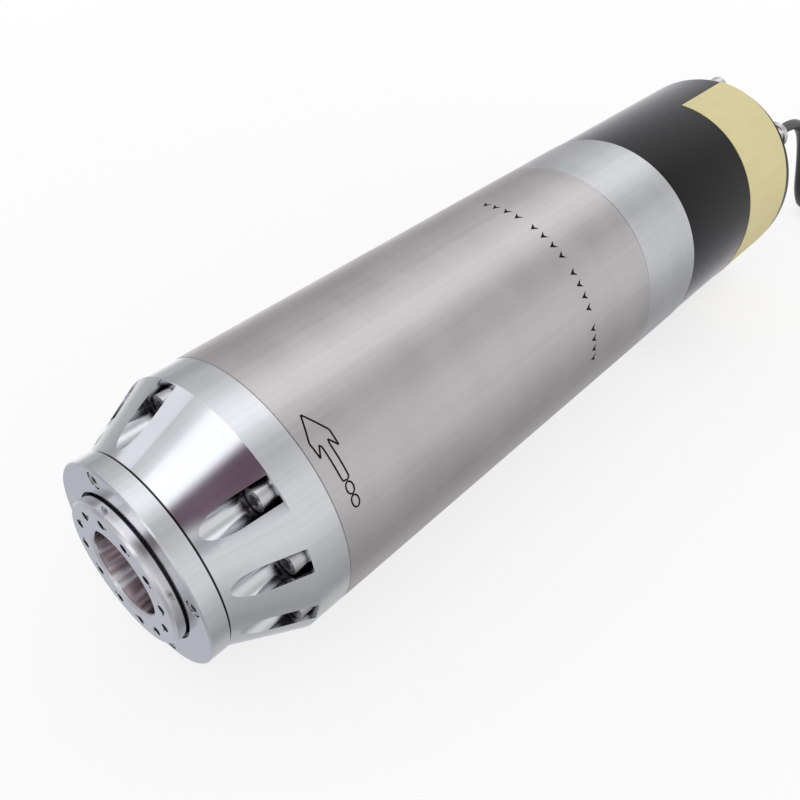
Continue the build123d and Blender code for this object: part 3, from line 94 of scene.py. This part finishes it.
def coil_points():
    """Turns from the outside in on the floor, then from the inside out on top of them."""
    layer = len(TURN_RADII)
    steps = int(TURNS * POINTS_PER_TURN)
    points = []
    for step in range(steps + 1):
        turned = step / POINTS_PER_TURN
        if turned <= layer:
            reach = 1 - turned / layer
        else:
            reach = (turned - layer) / (TURNS - layer)
        radius = TURN_RADII[-1] + (TURN_RADII[0] - TURN_RADII[-1]) * reach
        climb = min(max(turned - layer + 0.5, 0), 1)
        height = LOWER_Z + (UPPER_Z - LOWER_Z) * climb
        angle = math.pi - 2 * math.pi * turned
        x, y = COIL_X + radius * math.cos(angle), COIL_Y + radius * math.sin(angle)
        points.append((x, y, height))
    return points


def nurbs(name, points, diameter):
    """Smooth round cord along its control points."""
    curve = bpy.data.curves.new(name, "CURVE")
    curve.dimensions = "3D"
    curve.bevel_depth = diameter / 2
    curve.bevel_resolution = 5
    curve.resolution_u = 6
    curve.use_fill_caps = True
    spline = curve.splines.new("NURBS")
    spline.points.add(len(points) - 1)
    for place, point in zip(spline.points, points):
        place.co = (*point, 1)
    spline.order_u = 3
    spline.use_endpoint_u = True
    obj = bpy.data.objects.new(name, curve)
    bpy.context.collection.objects.link(obj)
    return obj


tail_x = COIL_X + TURN_RADII[0]
tail = [(tail_x, PLUG_SIDE_Y, TAIL_Z), (tail_x, PLUG_BACK_Y, TAIL_Z)]
cable = nurbs("cable", CABLE_ROUTE + coil_points() + tail, CABLE_D)

# ------------------------------------------------------------------ node tools


class Nodes:
    """Builds a node tree: each call adds one node and returns it."""

    def __init__(self, tree):
        self.tree = tree
        self.tree.nodes.clear()

    def add(self, kind, **values):
        node = self.tree.nodes.new(kind)
        for name, value in values.items():
            setattr(node, name, value)
        return node

    def link(self, source, target):
        self.tree.links.new(source, target)

    def feed(self, socket, value):
        """Sets a socket to a number or colour, or links it to another node's output."""
        if isinstance(value, bpy.types.NodeSocket):
            self.link(value, socket)
        else:
            socket.default_value = value

    def math(self, operation, first, second=0.0):
        node = self.add("ShaderNodeMath", operation=operation)
        self.feed(node.inputs[0], first)
        self.feed(node.inputs[1], second)
        return node.outputs[0]

    def product(self, first, *others):
        for other in others:
            first = self.math("MULTIPLY", first, other)
        return first

    def combine(self, x, y, z):
        node = self.add("ShaderNodeCombineXYZ")
        for socket, value in zip(node.inputs, (x, y, z)):
            self.feed(socket, value)
        return node.outputs[0]

    def noise(self, vector, scale, detail=2.0):
        node = self.add("ShaderNodeTexNoise")
        self.link(vector, node.inputs["Vector"])
        node.inputs["Scale"].default_value = scale
        node.inputs["Detail"].default_value = detail
        return node.outputs["Fac"]

    def spread(self, value, low, high, from_low=0.3, from_high=0.7):
        """A value taken from one range to another; a noise lies mostly between 0.3 and 0.7."""
        node = self.add("ShaderNodeMapRange")
        self.feed(node.inputs["Value"], value)
        limits = {"From Min": from_low, "From Max": from_high, "To Min": low, "To Max": high}
        for name, number in limits.items():
            node.inputs[name].default_value = number
        return node.outputs[0]

    def scaled(self, colour, factor):
        """A colour times a factor."""
        node = self.add("ShaderNodeVectorMath", operation="SCALE")
        self.feed(node.inputs[0], colour)
        self.feed(node.inputs["Scale"], factor)
        return node.outputs[0]

    def mixed(self, factor, first, second):
        node = self.add("ShaderNodeMix", data_type="RGBA")
        self.feed(node.inputs["Factor"], factor)
        self.feed(node.inputs["A"], (*first, 1) if isinstance(first, tuple) else first)
        self.feed(node.inputs["B"], (*second, 1) if isinstance(second, tuple) else second)
        return node.outputs["Result"]

    def seam(self, along, station, half_width, level):
        """Painted shade: 1, but the level within half a width (in millimetres) of a station."""
        distance = self.math("ABSOLUTE", self.math("SUBTRACT", along, NOSE_Y + station * MM))
        return self.spread(distance, level, 1.0, half_width * MM, half_width * MM + SEAM_BLUR)


def new_material(name):
    material = bpy.data.materials.new(name)
    material.use_nodes = True
    nodes = Nodes(material.node_tree)
    shader = nodes.add("ShaderNodeBsdfPrincipled")
    output = nodes.add("ShaderNodeOutputMaterial")
    nodes.link(shader.outputs[0], output.inputs[0])
    return material, nodes, shader


def spindle_coordinates(nodes):
    """Object coordinates split into place along the axis, distance from it and angle about it."""
    split = nodes.add("ShaderNodeSeparateXYZ")
    nodes.link(nodes.add("ShaderNodeTexCoord").outputs["Object"], split.inputs[0])
    height = nodes.math("SUBTRACT", split.outputs["Z"], AXIS_Z)
    along = split.outputs["Y"]
    across = nodes.math("POWER", split.outputs["X"], 2.0)
    up = nodes.math("POWER", height, 2.0)
    radius = nodes.math("SQRT", nodes.math("ADD", across, up))
    angle = nodes.math("ARCTAN2", height, split.outputs["X"])
    return along, radius, angle


def bump(nodes, shader, height, strength, distance):
    node = nodes.add("ShaderNodeBump")
    node.inputs["Strength"].default_value = strength
    node.inputs["Distance"].default_value = distance
    nodes.link(height, node.inputs["Height"])
    nodes.link(node.outputs[0], shader.inputs["Normal"])


# ------------------------------------------------------------------ finishes

SEAM_BLUR = 0.00012
# Painted shade in the seams between outer pieces: the station of each, half its width in millimetres
# and how dark it is.
SEAM_SHADES = ((12.25, 0.22, 0.06), (51.25, 0.12, 0.7), (233.8, 0.12, 0.6), (272.8, 0.25, 0.2))
DISC_SHADE = (4.1, 0.28, 0.05)  # painted shade on the nose disc's edge by the gap behind it, given like the seams above
CONE_START, CONE_END = 12.25, 37.9  # stations of the cone, which is CONE_R wide at its front
CONE_R = 0.0375
POCKET_SHADE_DEPTHS = (0.0008, 0.0022)  # painted shade on a pocket's wall starts and ends to darken this far under the cone
# Painted shade at the rear of each screw pocket: the stations where it starts and is full, and its
# colour.
POCKET_SHADE_STATIONS = (27.5, 32.5)
POCKET_SHADE_COLOUR = (0.035, 0.03, 0.035)
BORE_R = 0.0160
WORN_COLOUR = (0.30, 0.25, 0.265)

# How often a noise changes, per metre along the axis or out from it, and per radian about it.
CLOUDS = 45.0
STREAKS_ALONG, STREAKS_ROUND = 9.0, 24.0
WEAR_ALONG, WEAR_ROUND = 12.0, 2.6
CREASES_ALONG, CREASES_ROUND = 30.0, 9.0
SATIN_RINGS, SATIN_CLOUDS = 3500.0, 60.0

FINE_BUMP, GRAIN_BUMP, CREASE_BUMP = 0.00003, 0.00002, 0.0002


def turned_noise(nodes, per_metre, scale, detail=2.0):
    """Noise that follows the lathe: its marks are rings along the axis and across each face."""
    along, radius, angle = spindle_coordinates(nodes)
    place = nodes.combine(nodes.product(along, per_metre), nodes.product(radius, per_metre), angle)
    return nodes.noise(place, scale, detail)


def pocket_shade_share(nodes, along, radius):
    """Share of painted shade: 1 on the rear wall of each screw pocket and 0 elsewhere."""
    front, rear = (NOSE_Y + station * MM for station in (CONE_START, CONE_END))
    depth = nodes.math("SUBTRACT", nodes.spread(along, CONE_R, BODY_R, front, rear), radius)
    behind = nodes.spread(along, 0.0, 1.0, *(NOSE_Y + station * MM for station in POCKET_SHADE_STATIONS))
    return nodes.product(nodes.spread(depth, 0.0, 1.0, *POCKET_SHADE_DEPTHS), behind)


def turned_metal(
    name,
    colour,
    roughness,
    anisotropy,
    grooves,
    haze=0.04,
    cloud=0.06,
    streak=0.03,
    bore_r=0.0,
    pocket_shade=False,
):
    """Lathe-turned metal: fine rings round the spindle axis, with faint clouding.

    grooves is the number of ring marks per metre along the axis or across a face. Inside bore_r,
    a ground bore is darker and streaked where tools have worn it; outside it, painted shade darkens
    the nose disc's edge by the gap behind it. Painted shade also darkens the seams between outer
    pieces, and the pocket argument paints shade on the rear wall of each screw pocket in the nose.
    """
    material, nodes, shader = new_material(name)
    along, radius, angle = spindle_coordinates(nodes)
    rings = turned_noise(nodes, grooves, 1.0, 3.0)
    clouds = turned_noise(nodes, CLOUDS, 1.4)
    streak_place = nodes.combine(
        nodes.product(along, STREAKS_ALONG), radius, nodes.product(angle, STREAKS_ROUND)
    )
    streaks = nodes.noise(streak_place, 1.0)
    shade = nodes.product(
        nodes.spread(rings, 1 - haze, 1 + haze),
        nodes.spread(clouds, 1 - cloud, 1 + cloud),
        nodes.spread(streaks, 1 - streak, 1 + streak),
        # painted shade in the seams between outer pieces
        *(nodes.seam(along, *seam) for seam in SEAM_SHADES),
    )
    if bore_r:
        inside = nodes.spread(radius, 1.0, 0.0, bore_r, bore_r + SEAM_BLUR)
        # painted shade on the nose disc's edge by the gap behind it, kept out of the bore
        shade = nodes.product(shade, nodes.math("MAXIMUM", nodes.seam(along, *DISC_SHADE), inside))
    tint = nodes.scaled(colour, shade)
    # painted shade on the rear wall of each screw pocket in the nose
    if pocket_shade:
        tint = nodes.mixed(pocket_shade_share(nodes, along, radius), tint, POCKET_SHADE_COLOUR)
    if bore_r:
        wear_place = nodes.combine(
            nodes.product(along, WEAR_ALONG), 0.0, nodes.product(angle, WEAR_ROUND)
        )
        wear = nodes.spread(nodes.noise(wear_place, 1.0), 0.0, 1.0, 0.44, 0.56)
        tint = nodes.mixed(inside, tint, nodes.mixed(wear, WORN_COLOUR, tint))
    nodes.link(tint, shader.inputs["Base Color"])
    shader.inputs["Metallic"].default_value = 1.0
    shader.inputs["Anisotropic"].default_value = anisotropy
    shader.inputs["Anisotropic Rotation"].default_value = 0.25
    nodes.link(nodes.spread(clouds, roughness * 0.88, roughness * 1.12), shader.inputs["Roughness"])
    tangent = nodes.add("ShaderNodeTangent", direction_type="RADIAL", axis="Y")
    nodes.link(tangent.outputs[0], shader.inputs["Tangent"])
    bump(nodes, shader, rings, 0.12, FINE_BUMP)
    return material


def plain_metal(name, colour, roughness, grain=2500.0, cloud=0.08):
    """Small metal pieces: plated, ground or cast, with a fine even grain."""
    material, nodes, shader = new_material(name)
    place = nodes.add("ShaderNodeTexCoord").outputs["Object"]
    specks = nodes.noise(place, grain)
    clouds = nodes.noise(place, 90.0, 3.0)
    tint = nodes.scaled(colour, nodes.spread(clouds, 1 - cloud, 1 + cloud))
    nodes.link(tint, shader.inputs["Base Color"])
    shader.inputs["Metallic"].default_value = 1.0
    nodes.link(nodes.spread(specks, roughness * 0.85, roughness * 1.15), shader.inputs["Roughness"])
    bump(nodes, shader, specks, 0.1, GRAIN_BUMP)
    return material


def moulded(name, colour, roughness, grain=1800.0, depth=0.25):
    """Rubber, plastic, film or varnish: a non-metal with a fine grain and slight clouding."""
    material, nodes, shader = new_material(name)
    place = nodes.add("ShaderNodeTexCoord").outputs["Object"]
    specks = nodes.noise(place, grain)
    clouds = nodes.noise(place, 60.0, 3.0)
    nodes.link(nodes.scaled(colour, nodes.spread(clouds, 0.93, 1.07)), shader.inputs["Base Color"])
    nodes.link(nodes.spread(specks, roughness * 0.85, roughness * 1.15), shader.inputs["Roughness"])
    bump(nodes, shader, specks, depth, FINE_BUMP)
    return material


def black_anodised(name):
    """Satin black anodised aluminium, whose sheen turns it greyer towards its edges."""
    material, nodes, shader = new_material(name)
    along, radius, angle = spindle_coordinates(nodes)
    rings = turned_noise(nodes, SATIN_RINGS, 1.0)
    clouds = nodes.noise(nodes.combine(nodes.product(along, SATIN_CLOUDS), radius, angle), 2.0)
    tint = nodes.scaled((0.0028, 0.0026, 0.0034), nodes.spread(clouds, 0.85, 1.15))
    nodes.link(tint, shader.inputs["Base Color"])
    shader.inputs["Specular IOR Level"].default_value = 0.05
    shader.inputs["Sheen Weight"].default_value = 1.0
    shader.inputs["Sheen Roughness"].default_value = 0.3
    shader.inputs["Sheen Tint"].default_value = (0.98, 0.96, 1.0, 1)
    nodes.link(nodes.spread(rings, 0.34, 0.42), shader.inputs["Roughness"])
    bump(nodes, shader, rings, 0.1, GRAIN_BUMP)
    return material


def label_film(name):
    """Matte yellow film with faint creases along the body."""
    material, nodes, shader = new_material(name)
    along, radius, angle = spindle_coordinates(nodes)
    crease_place = nodes.combine(
        nodes.product(along, CREASES_ALONG), radius, nodes.product(angle, CREASES_ROUND)
    )
    creases = nodes.noise(crease_place, 1.0, 3.0)
    fibres = nodes.noise(nodes.add("ShaderNodeTexCoord").outputs["Object"], 1500.0)
    tint = nodes.mixed(nodes.spread(creases, 0.0, 1.0), (0.68, 0.60, 0.30), (0.64, 0.565, 0.30))
    nodes.link(tint, shader.inputs["Base Color"])
    nodes.link(nodes.spread(fibres, 0.5, 0.62), shader.inputs["Roughness"])
    bump(nodes, shader, creases, 0.35, CREASE_BUMP)
    return material


ALUMINIUM = (0.62, 0.63, 0.66)
STAINLESS = (0.502, 0.485, 0.490)
GROUND = (0.66, 0.66, 0.69)
SLOT_FINISHES = {
    "polished_aluminium": turned_metal(
        "polished_aluminium", ALUMINIUM, 0.13, 0.5, 5200.0, haze=0.02, cloud=0.03, pocket_shade=True
    ),
    "satin_aluminium": turned_metal("satin_aluminium", (0.55, 0.555, 0.57), 0.33, 0.45, 4200.0),
    "brushed_stainless": turned_metal(
        "brushed_stainless", STAINLESS, 0.33, 0.45, 3400.0, haze=0.02, cloud=0.045, streak=0.035
    ),
    "ground_steel": turned_metal(
        "ground_steel", GROUND, 0.15, 0.55, 5600.0, haze=0.03, cloud=0.03, bore_r=BORE_R
    ),
    "bearing_steel": plain_metal("bearing_steel", (0.66, 0.66, 0.68), 0.12),
    "screw_steel": plain_metal("screw_steel", (0.52, 0.52, 0.54), 0.28),
    "black_anodised": black_anodised("black_anodised"),
    "yellow_label": label_film("yellow_label"),
    "nickel_brass": plain_metal("nickel_brass", (0.58, 0.56, 0.56), 0.24),
    "lamination": plain_metal("lamination", (0.16, 0.16, 0.18), 0.5, grain=900.0),
    "copper_winding": plain_metal("copper_winding", (0.62, 0.26, 0.11), 0.35, grain=1200.0),
    "spring_steel": plain_metal("spring_steel", (0.25, 0.235, 0.22), 0.38),
    "seal_rubber": moulded("seal_rubber", (0.02, 0.02, 0.02), 0.6),
    "sensor_plastic": moulded("sensor_plastic", (0.05, 0.05, 0.06), 0.45),
    "cable_rubber": moulded("cable_rubber", (0.012, 0.012, 0.013), 0.34, depth=0.12),
    "plug_metal": plain_metal("plug_metal", (0.5, 0.5, 0.52), 0.3),
}
slot_of = {part["node"]: part["material_slot"] for part in frame["record"]["subparts"]}
for node, obj in frame["nodes"].items():
    obj.data.materials.clear()
    obj.data.materials.append(SLOT_FINISHES[slot_of[node]])

# ------------------------------------------------------------------ coil ties and the cable's finish

TIE_ANGLES = (60.0, 180.0, 300.0)
TIE_WIDTH = 0.006
TIE_T = 0.0009
TIE_ROUNDING = 0.0022
TIE_BASE = 0.0006  # height of the strap's inner side under the coil
TIE_FLOOR = 0.0001  # its outer side stays above this
BEND_STEPS, BEND_STEP = 3, 15


def piece_from(name, mesh, smooth=True):
    """A new object with this mesh, which is freed."""
    data = bpy.data.meshes.new(name)
    mesh.to_mesh(data)
    mesh.free()
    for polygon in data.polygons:
        polygon.use_smooth = smooth
    obj = bpy.data.objects.new(name, data)
    bpy.context.collection.objects.link(obj)
    return obj


def tie_section():
    """The strap's inner line round the coil's turns: (radius, height, direction out) at each step."""
    inner, outer = TURN_RADII[-1] - CABLE_D / 2, TURN_RADII[0] + CABLE_D / 2
    top = UPPER_Z + CABLE_D / 2
    corners = ((inner, TIE_BASE, 225), (outer, TIE_BASE, 315), (outer, top, 45), (inner, top, 135))
    line = []
    for radius, height, middle in corners:
        centre_r = radius + (TIE_ROUNDING if radius == inner else -TIE_ROUNDING)
        centre_h = height + (TIE_ROUNDING if height < top else -TIE_ROUNDING)
        for step in range(-BEND_STEPS, BEND_STEPS + 1):
            bend = math.radians(middle) + math.radians(BEND_STEP * step)
            r = centre_r + TIE_ROUNDING * math.cos(bend)
            line.append((r, centre_h + TIE_ROUNDING * math.sin(bend), bend))
    return line


def coil_tie(name, angle):
    """Strap wrapped round the coil's turns, as a thin closed band."""
    turn = math.radians(angle)
    mesh = bmesh.new()
    rows = []
    for thickness in (0.0, TIE_T):
        for side in (-TIE_WIDTH / 2, TIE_WIDTH / 2):
            row = []
            for radius, height, bend in tie_section():
                r = radius + thickness * math.cos(bend)
                z = max(height + thickness * math.sin(bend), TIE_FLOOR)
                x = COIL_X + r * math.cos(turn) - side * math.sin(turn)
                y = COIL_Y + r * math.sin(turn) + side * math.cos(turn)
                row.append(mesh.verts.new((x, y, z)))
            rows.append(row)
    inner_left, inner_right, outer_left, outer_right = rows
    walls = (
        (inner_left, inner_right),
        (outer_right, outer_left),
        (outer_left, inner_left),
        (inner_right, outer_right),
    )
    count = len(inner_left)
    for step in range(count):
        after = (step + 1) % count
        for low, high in walls:
            mesh.faces.new((low[step], low[after], high[after], high[step]))
    bmesh.ops.recalc_face_normals(mesh, faces=mesh.faces)
    return piece_from(name, mesh)


cable.data.materials.append(SLOT_FINISHES["cable_rubber"])
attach(cable, "housing")
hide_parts("cable_tube", "cable_coil", "cable_tail")
for number, angle in enumerate(TIE_ANGLES):
    tie = coil_tie(f"coil_tie_{number + 1}", angle)
    tie.data.materials.append(SLOT_FINISHES["sensor_plastic"])
    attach(tie, "housing")

# ------------------------------------------------------------------ engraved marks

MARK_R = BODY_R + 0.00002
MM_PER_DEGREE = BODY_R / MM * math.pi / 180


def on_body(station, angle):
    turn = math.radians(angle)
    return Vector((MARK_R * math.cos(turn), NOSE_Y + station * MM, AXIS_Z + MARK_R * math.sin(turn)))


def add_stroke(mesh, start, end, width):
    """Thin filled line between two (station, angle) points on the body."""
    ds, da = end[0] - start[0], end[1] - start[1]
    length = math.hypot(ds, da * MM_PER_DEGREE)
    side_s = -da * MM_PER_DEGREE / length * width / 2
    side_a = ds / length * width / 2 / MM_PER_DEGREE
    steps = max(1, int(abs(da)))
    before = None
    for step in range(steps + 1):
        s, a = start[0] + ds * step / steps, start[1] + da * step / steps
        pair = [mesh.verts.new(on_body(s + side * side_s, a + side * side_a)) for side in (1, -1)]
        if before:
            mesh.faces.new((before[0], before[1], pair[1], pair[0]))
        before = pair


def add_outline(mesh, points, width):
    """Closed outline of strokes."""
    for start, end in zip(points, points[1:] + points[:1]):
        add_stroke(mesh, start, end, width)


def ring_points(station, angle, half_along, half_round, count=16):
    """(station, angle) points of an ellipse on the body."""
    turns = [2 * math.pi * step / count for step in range(count)]
    return [
        (station + half_along * math.cos(turn), angle + half_round * math.sin(turn) / MM_PER_DEGREE)
        for turn in turns
    ]


ARROW = [  # (station, angle) of each corner
    (57.9, 61.1),
    (62.7, 51.3),
    (62.6, 45.0),
    (60.4, 48.9),
    (60.1, 47.1),
    (60.3, 33.9),
    (59.5, 33.0),
    (57.7, 33.4),
    (57.5, 34.9),
    (57.3, 47.7),
    (56.8, 48.8),
    (54.8, 44.7),
    (54.4, 51.2),
]
ARROW_LINE = 0.6
# Station and angle of each ring's middle, and its half widths along and round the body.
ARROW_RINGS = ((58.9, 29.9, 1.45, 2.15), (58.9, 24.4, 1.45, 2.15))
marks = bmesh.new()
add_outline(marks, ARROW, ARROW_LINE)
for ring in ARROW_RINGS:
    add_outline(marks, ring_points(*ring), ARROW_LINE)

# A row of small arrowheads round the body, which point to the nose.
CLAMP_STATION = 190.0
CLAMP_ANGLES = (
    *(100.7, 95.3, 89.0, 82.8),
    *(73.4, 67.4, 61.3, 55.3),
    *(46.1, 40.2, 34.3, 28.4),
    *(18.1, 12.9, 7.6, 2.4),
)
CLAMP_LEN, CLAMP_HALF, CLAMP_NOTCH = 3.5, 1.7, 1.2
half = CLAMP_HALF / MM_PER_DEGREE
front, rear = CLAMP_STATION - CLAMP_LEN / 2, CLAMP_STATION + CLAMP_LEN / 2
for angle in CLAMP_ANGLES:
    notch = (rear - CLAMP_NOTCH, angle)
    corners = ((front, angle), (rear, angle - half), notch, (rear, angle + half))
    tip, left, notch, right = [marks.verts.new(on_body(s, a)) for s, a in corners]
    marks.faces.new((tip, left, notch))
    marks.faces.new((tip, notch, right))
bmesh.ops.recalc_face_normals(marks, faces=marks.faces)
engraved = piece_from("engraved_marks", marks, smooth=False)
ink = moulded("engraving", (0.004, 0.004, 0.004), 0.7, depth=0.1)
ink.node_tree.nodes["Principled BSDF"].inputs["Specular IOR Level"].default_value = 0.1
engraved.data.materials.append(ink)
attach(engraved, "housing")

# ------------------------------------------------------------------ studio

# Camera rays see plain white, glossy rays see the studio and all others see even light.

# Angle about the spindle axis of a direction, in degrees, and the studio's brightness there.
STUDIO = [
    (-180, 0.62),
    (-170, 0.55),
    (-158, 1.15),
    (-145, 1.25),
    (-120, 0.85),
    (-100, 0.52),
    (-84, 0.68),
    (-68, 0.40),
    (-52, 0.51),
    (-36, 0.60),
    (-20, 0.72),
    (-4, 0.98),
    (12, 0.95),
    (28, 0.98),
    (44, 0.80),
    (58, 0.66),
    (72, 0.74),
    (82, 1.05),
    (92, 1.36),
    (108, 1.32),
    (124, 0.98),
    (140, 0.71),
    (156, 0.71),
    (170, 0.42),
    (180, 0.62),
]
# Patches of the studio that the nose reflects: direction, the cosines from it at which the patch
# starts and is full, and its colour.
FRONT_DARK = (Vector((0.39, -0.45, 0.80)), 0.95, 0.985, (0.17, 0.105, 0.14))
FRONT_LEFT = (Vector((-0.81, -0.25, 0.53)), 0.97, 0.995, (1.15, 1.15, 1.2))
FRONT_SIDE = (Vector((0.75, -0.48, 0.45)), 0.975, 0.998, (0.45, 0.44, 0.48))
FRONT_LOW = (Vector((-0.507, -0.551, -0.662)), 0.55, 0.85, (0.60, 0.61, 0.66))
FRONT_TOP = (Vector((-0.12, -0.43, 0.89)), 0.93, 0.98, (1.6, 1.6, 1.62))
EVEN_LIGHT = (1.0, 1.0, 1.0)
PEAK = 2.0  # the ramp's colours stay under 1, so its levels are divided by this and scaled back

world = bpy.data.worlds.new("studio")
bpy.context.scene.world = world
world.use_nodes = True
nodes = Nodes(world.node_tree)
direction = nodes.add("ShaderNodeTexCoord").outputs["Generated"]
split = nodes.add("ShaderNodeSeparateXYZ")
nodes.link(direction, split.inputs[0])
angle = nodes.math("ARCTAN2", split.outputs["Z"], split.outputs["X"])
place = nodes.math("ADD", nodes.math("DIVIDE", angle, 2 * math.pi), 0.5)
ramp = nodes.add("ShaderNodeValToRGB")
ramp.color_ramp.interpolation = "B_SPLINE"
while len(ramp.color_ramp.elements) > 1:
    ramp.color_ramp.elements.remove(ramp.color_ramp.elements[-1])
for number, (degrees, level) in enumerate(STUDIO):
    position = degrees / 360 + 0.5
    stop = ramp.color_ramp.elements[0] if number == 0 else ramp.color_ramp.elements.new(position)
    stop.position = position
    stop.color = (level / PEAK, level / PEAK, level / PEAK, 1)
nodes.link(place, ramp.inputs[0])
studio = nodes.scaled(ramp.outputs["Color"], PEAK)
for centre, starts, full, colour in (FRONT_LOW, FRONT_TOP, FRONT_LEFT, FRONT_SIDE, FRONT_DARK):
    dot = nodes.add("ShaderNodeVectorMath", operation="DOT_PRODUCT")
    nodes.link(direction, dot.inputs[0])
    dot.inputs[1].default_value = centre.normalized()
    studio = nodes.mixed(nodes.spread(dot.outputs["Value"], 0.0, 1.0, starts, full), studio, colour)
rays = nodes.add("ShaderNodeLightPath")
seen = nodes.mixed(rays.outputs["Is Glossy Ray"], EVEN_LIGHT, studio)
background = nodes.add("ShaderNodeBackground")
nodes.link(seen, background.inputs["Color"])
white = nodes.add("ShaderNodeBackground")
white.inputs["Color"].default_value = (1, 1, 1, 1)
pick = nodes.add("ShaderNodeMixShader")
nodes.link(rays.outputs["Is Camera Ray"], pick.inputs[0])
nodes.link(background.outputs[0], pick.inputs[1])
nodes.link(white.outputs[0], pick.inputs[2])
output = nodes.add("ShaderNodeOutputWorld")
nodes.link(pick.outputs[0], output.inputs[0])

# ------------------------------------------------------------------ floor

FLOOR_HALF = 4.0
FLOOR_Z = -0.0002
NEAR_WHITE = 0.75  # share of plain white in the floor by the spindle, which is 1 far from it
FADE_FROM_TO = (0.30, 0.85)
floor_mesh = bmesh.new()
floor_mesh.faces.new(
    [
        floor_mesh.verts.new((x * FLOOR_HALF, y * FLOOR_HALF, FLOOR_Z))
        for x, y in ((-1, -1), (1, -1), (1, 1), (-1, 1))
    ]
)
floor = piece_from("floor", floor_mesh, smooth=False)
floor_material, nodes, shader = new_material("floor")
shader.inputs["Base Color"].default_value = (0.9, 0.9, 0.9, 1)
shader.inputs["Roughness"].default_value = 0.9
glow = nodes.add("ShaderNodeEmission")
glow.inputs["Color"].default_value = (1, 1, 1, 1)
rays = nodes.add("ShaderNodeLightPath")
mix = nodes.add("ShaderNodeMixShader")
flat = nodes.add("ShaderNodeVectorMath", operation="LENGTH")
nodes.link(nodes.add("ShaderNodeTexCoord").outputs["Object"], flat.inputs[0])
whiteness = nodes.spread(flat.outputs["Value"], NEAR_WHITE, 1.0, *FADE_FROM_TO)
nodes.link(nodes.math("MULTIPLY", rays.outputs["Is Camera Ray"], whiteness), mix.inputs[0])
nodes.link(shader.outputs[0], mix.inputs[1])
nodes.link(glow.outputs[0], mix.inputs[2])
output = next(node for node in floor_material.node_tree.nodes if node.type == "OUTPUT_MATERIAL")
nodes.link(mix.outputs[0], output.inputs[0])
floor.data.materials.append(floor_material)
floor.visible_glossy = False

bpy.context.scene.view_settings.view_transform = "Standard"
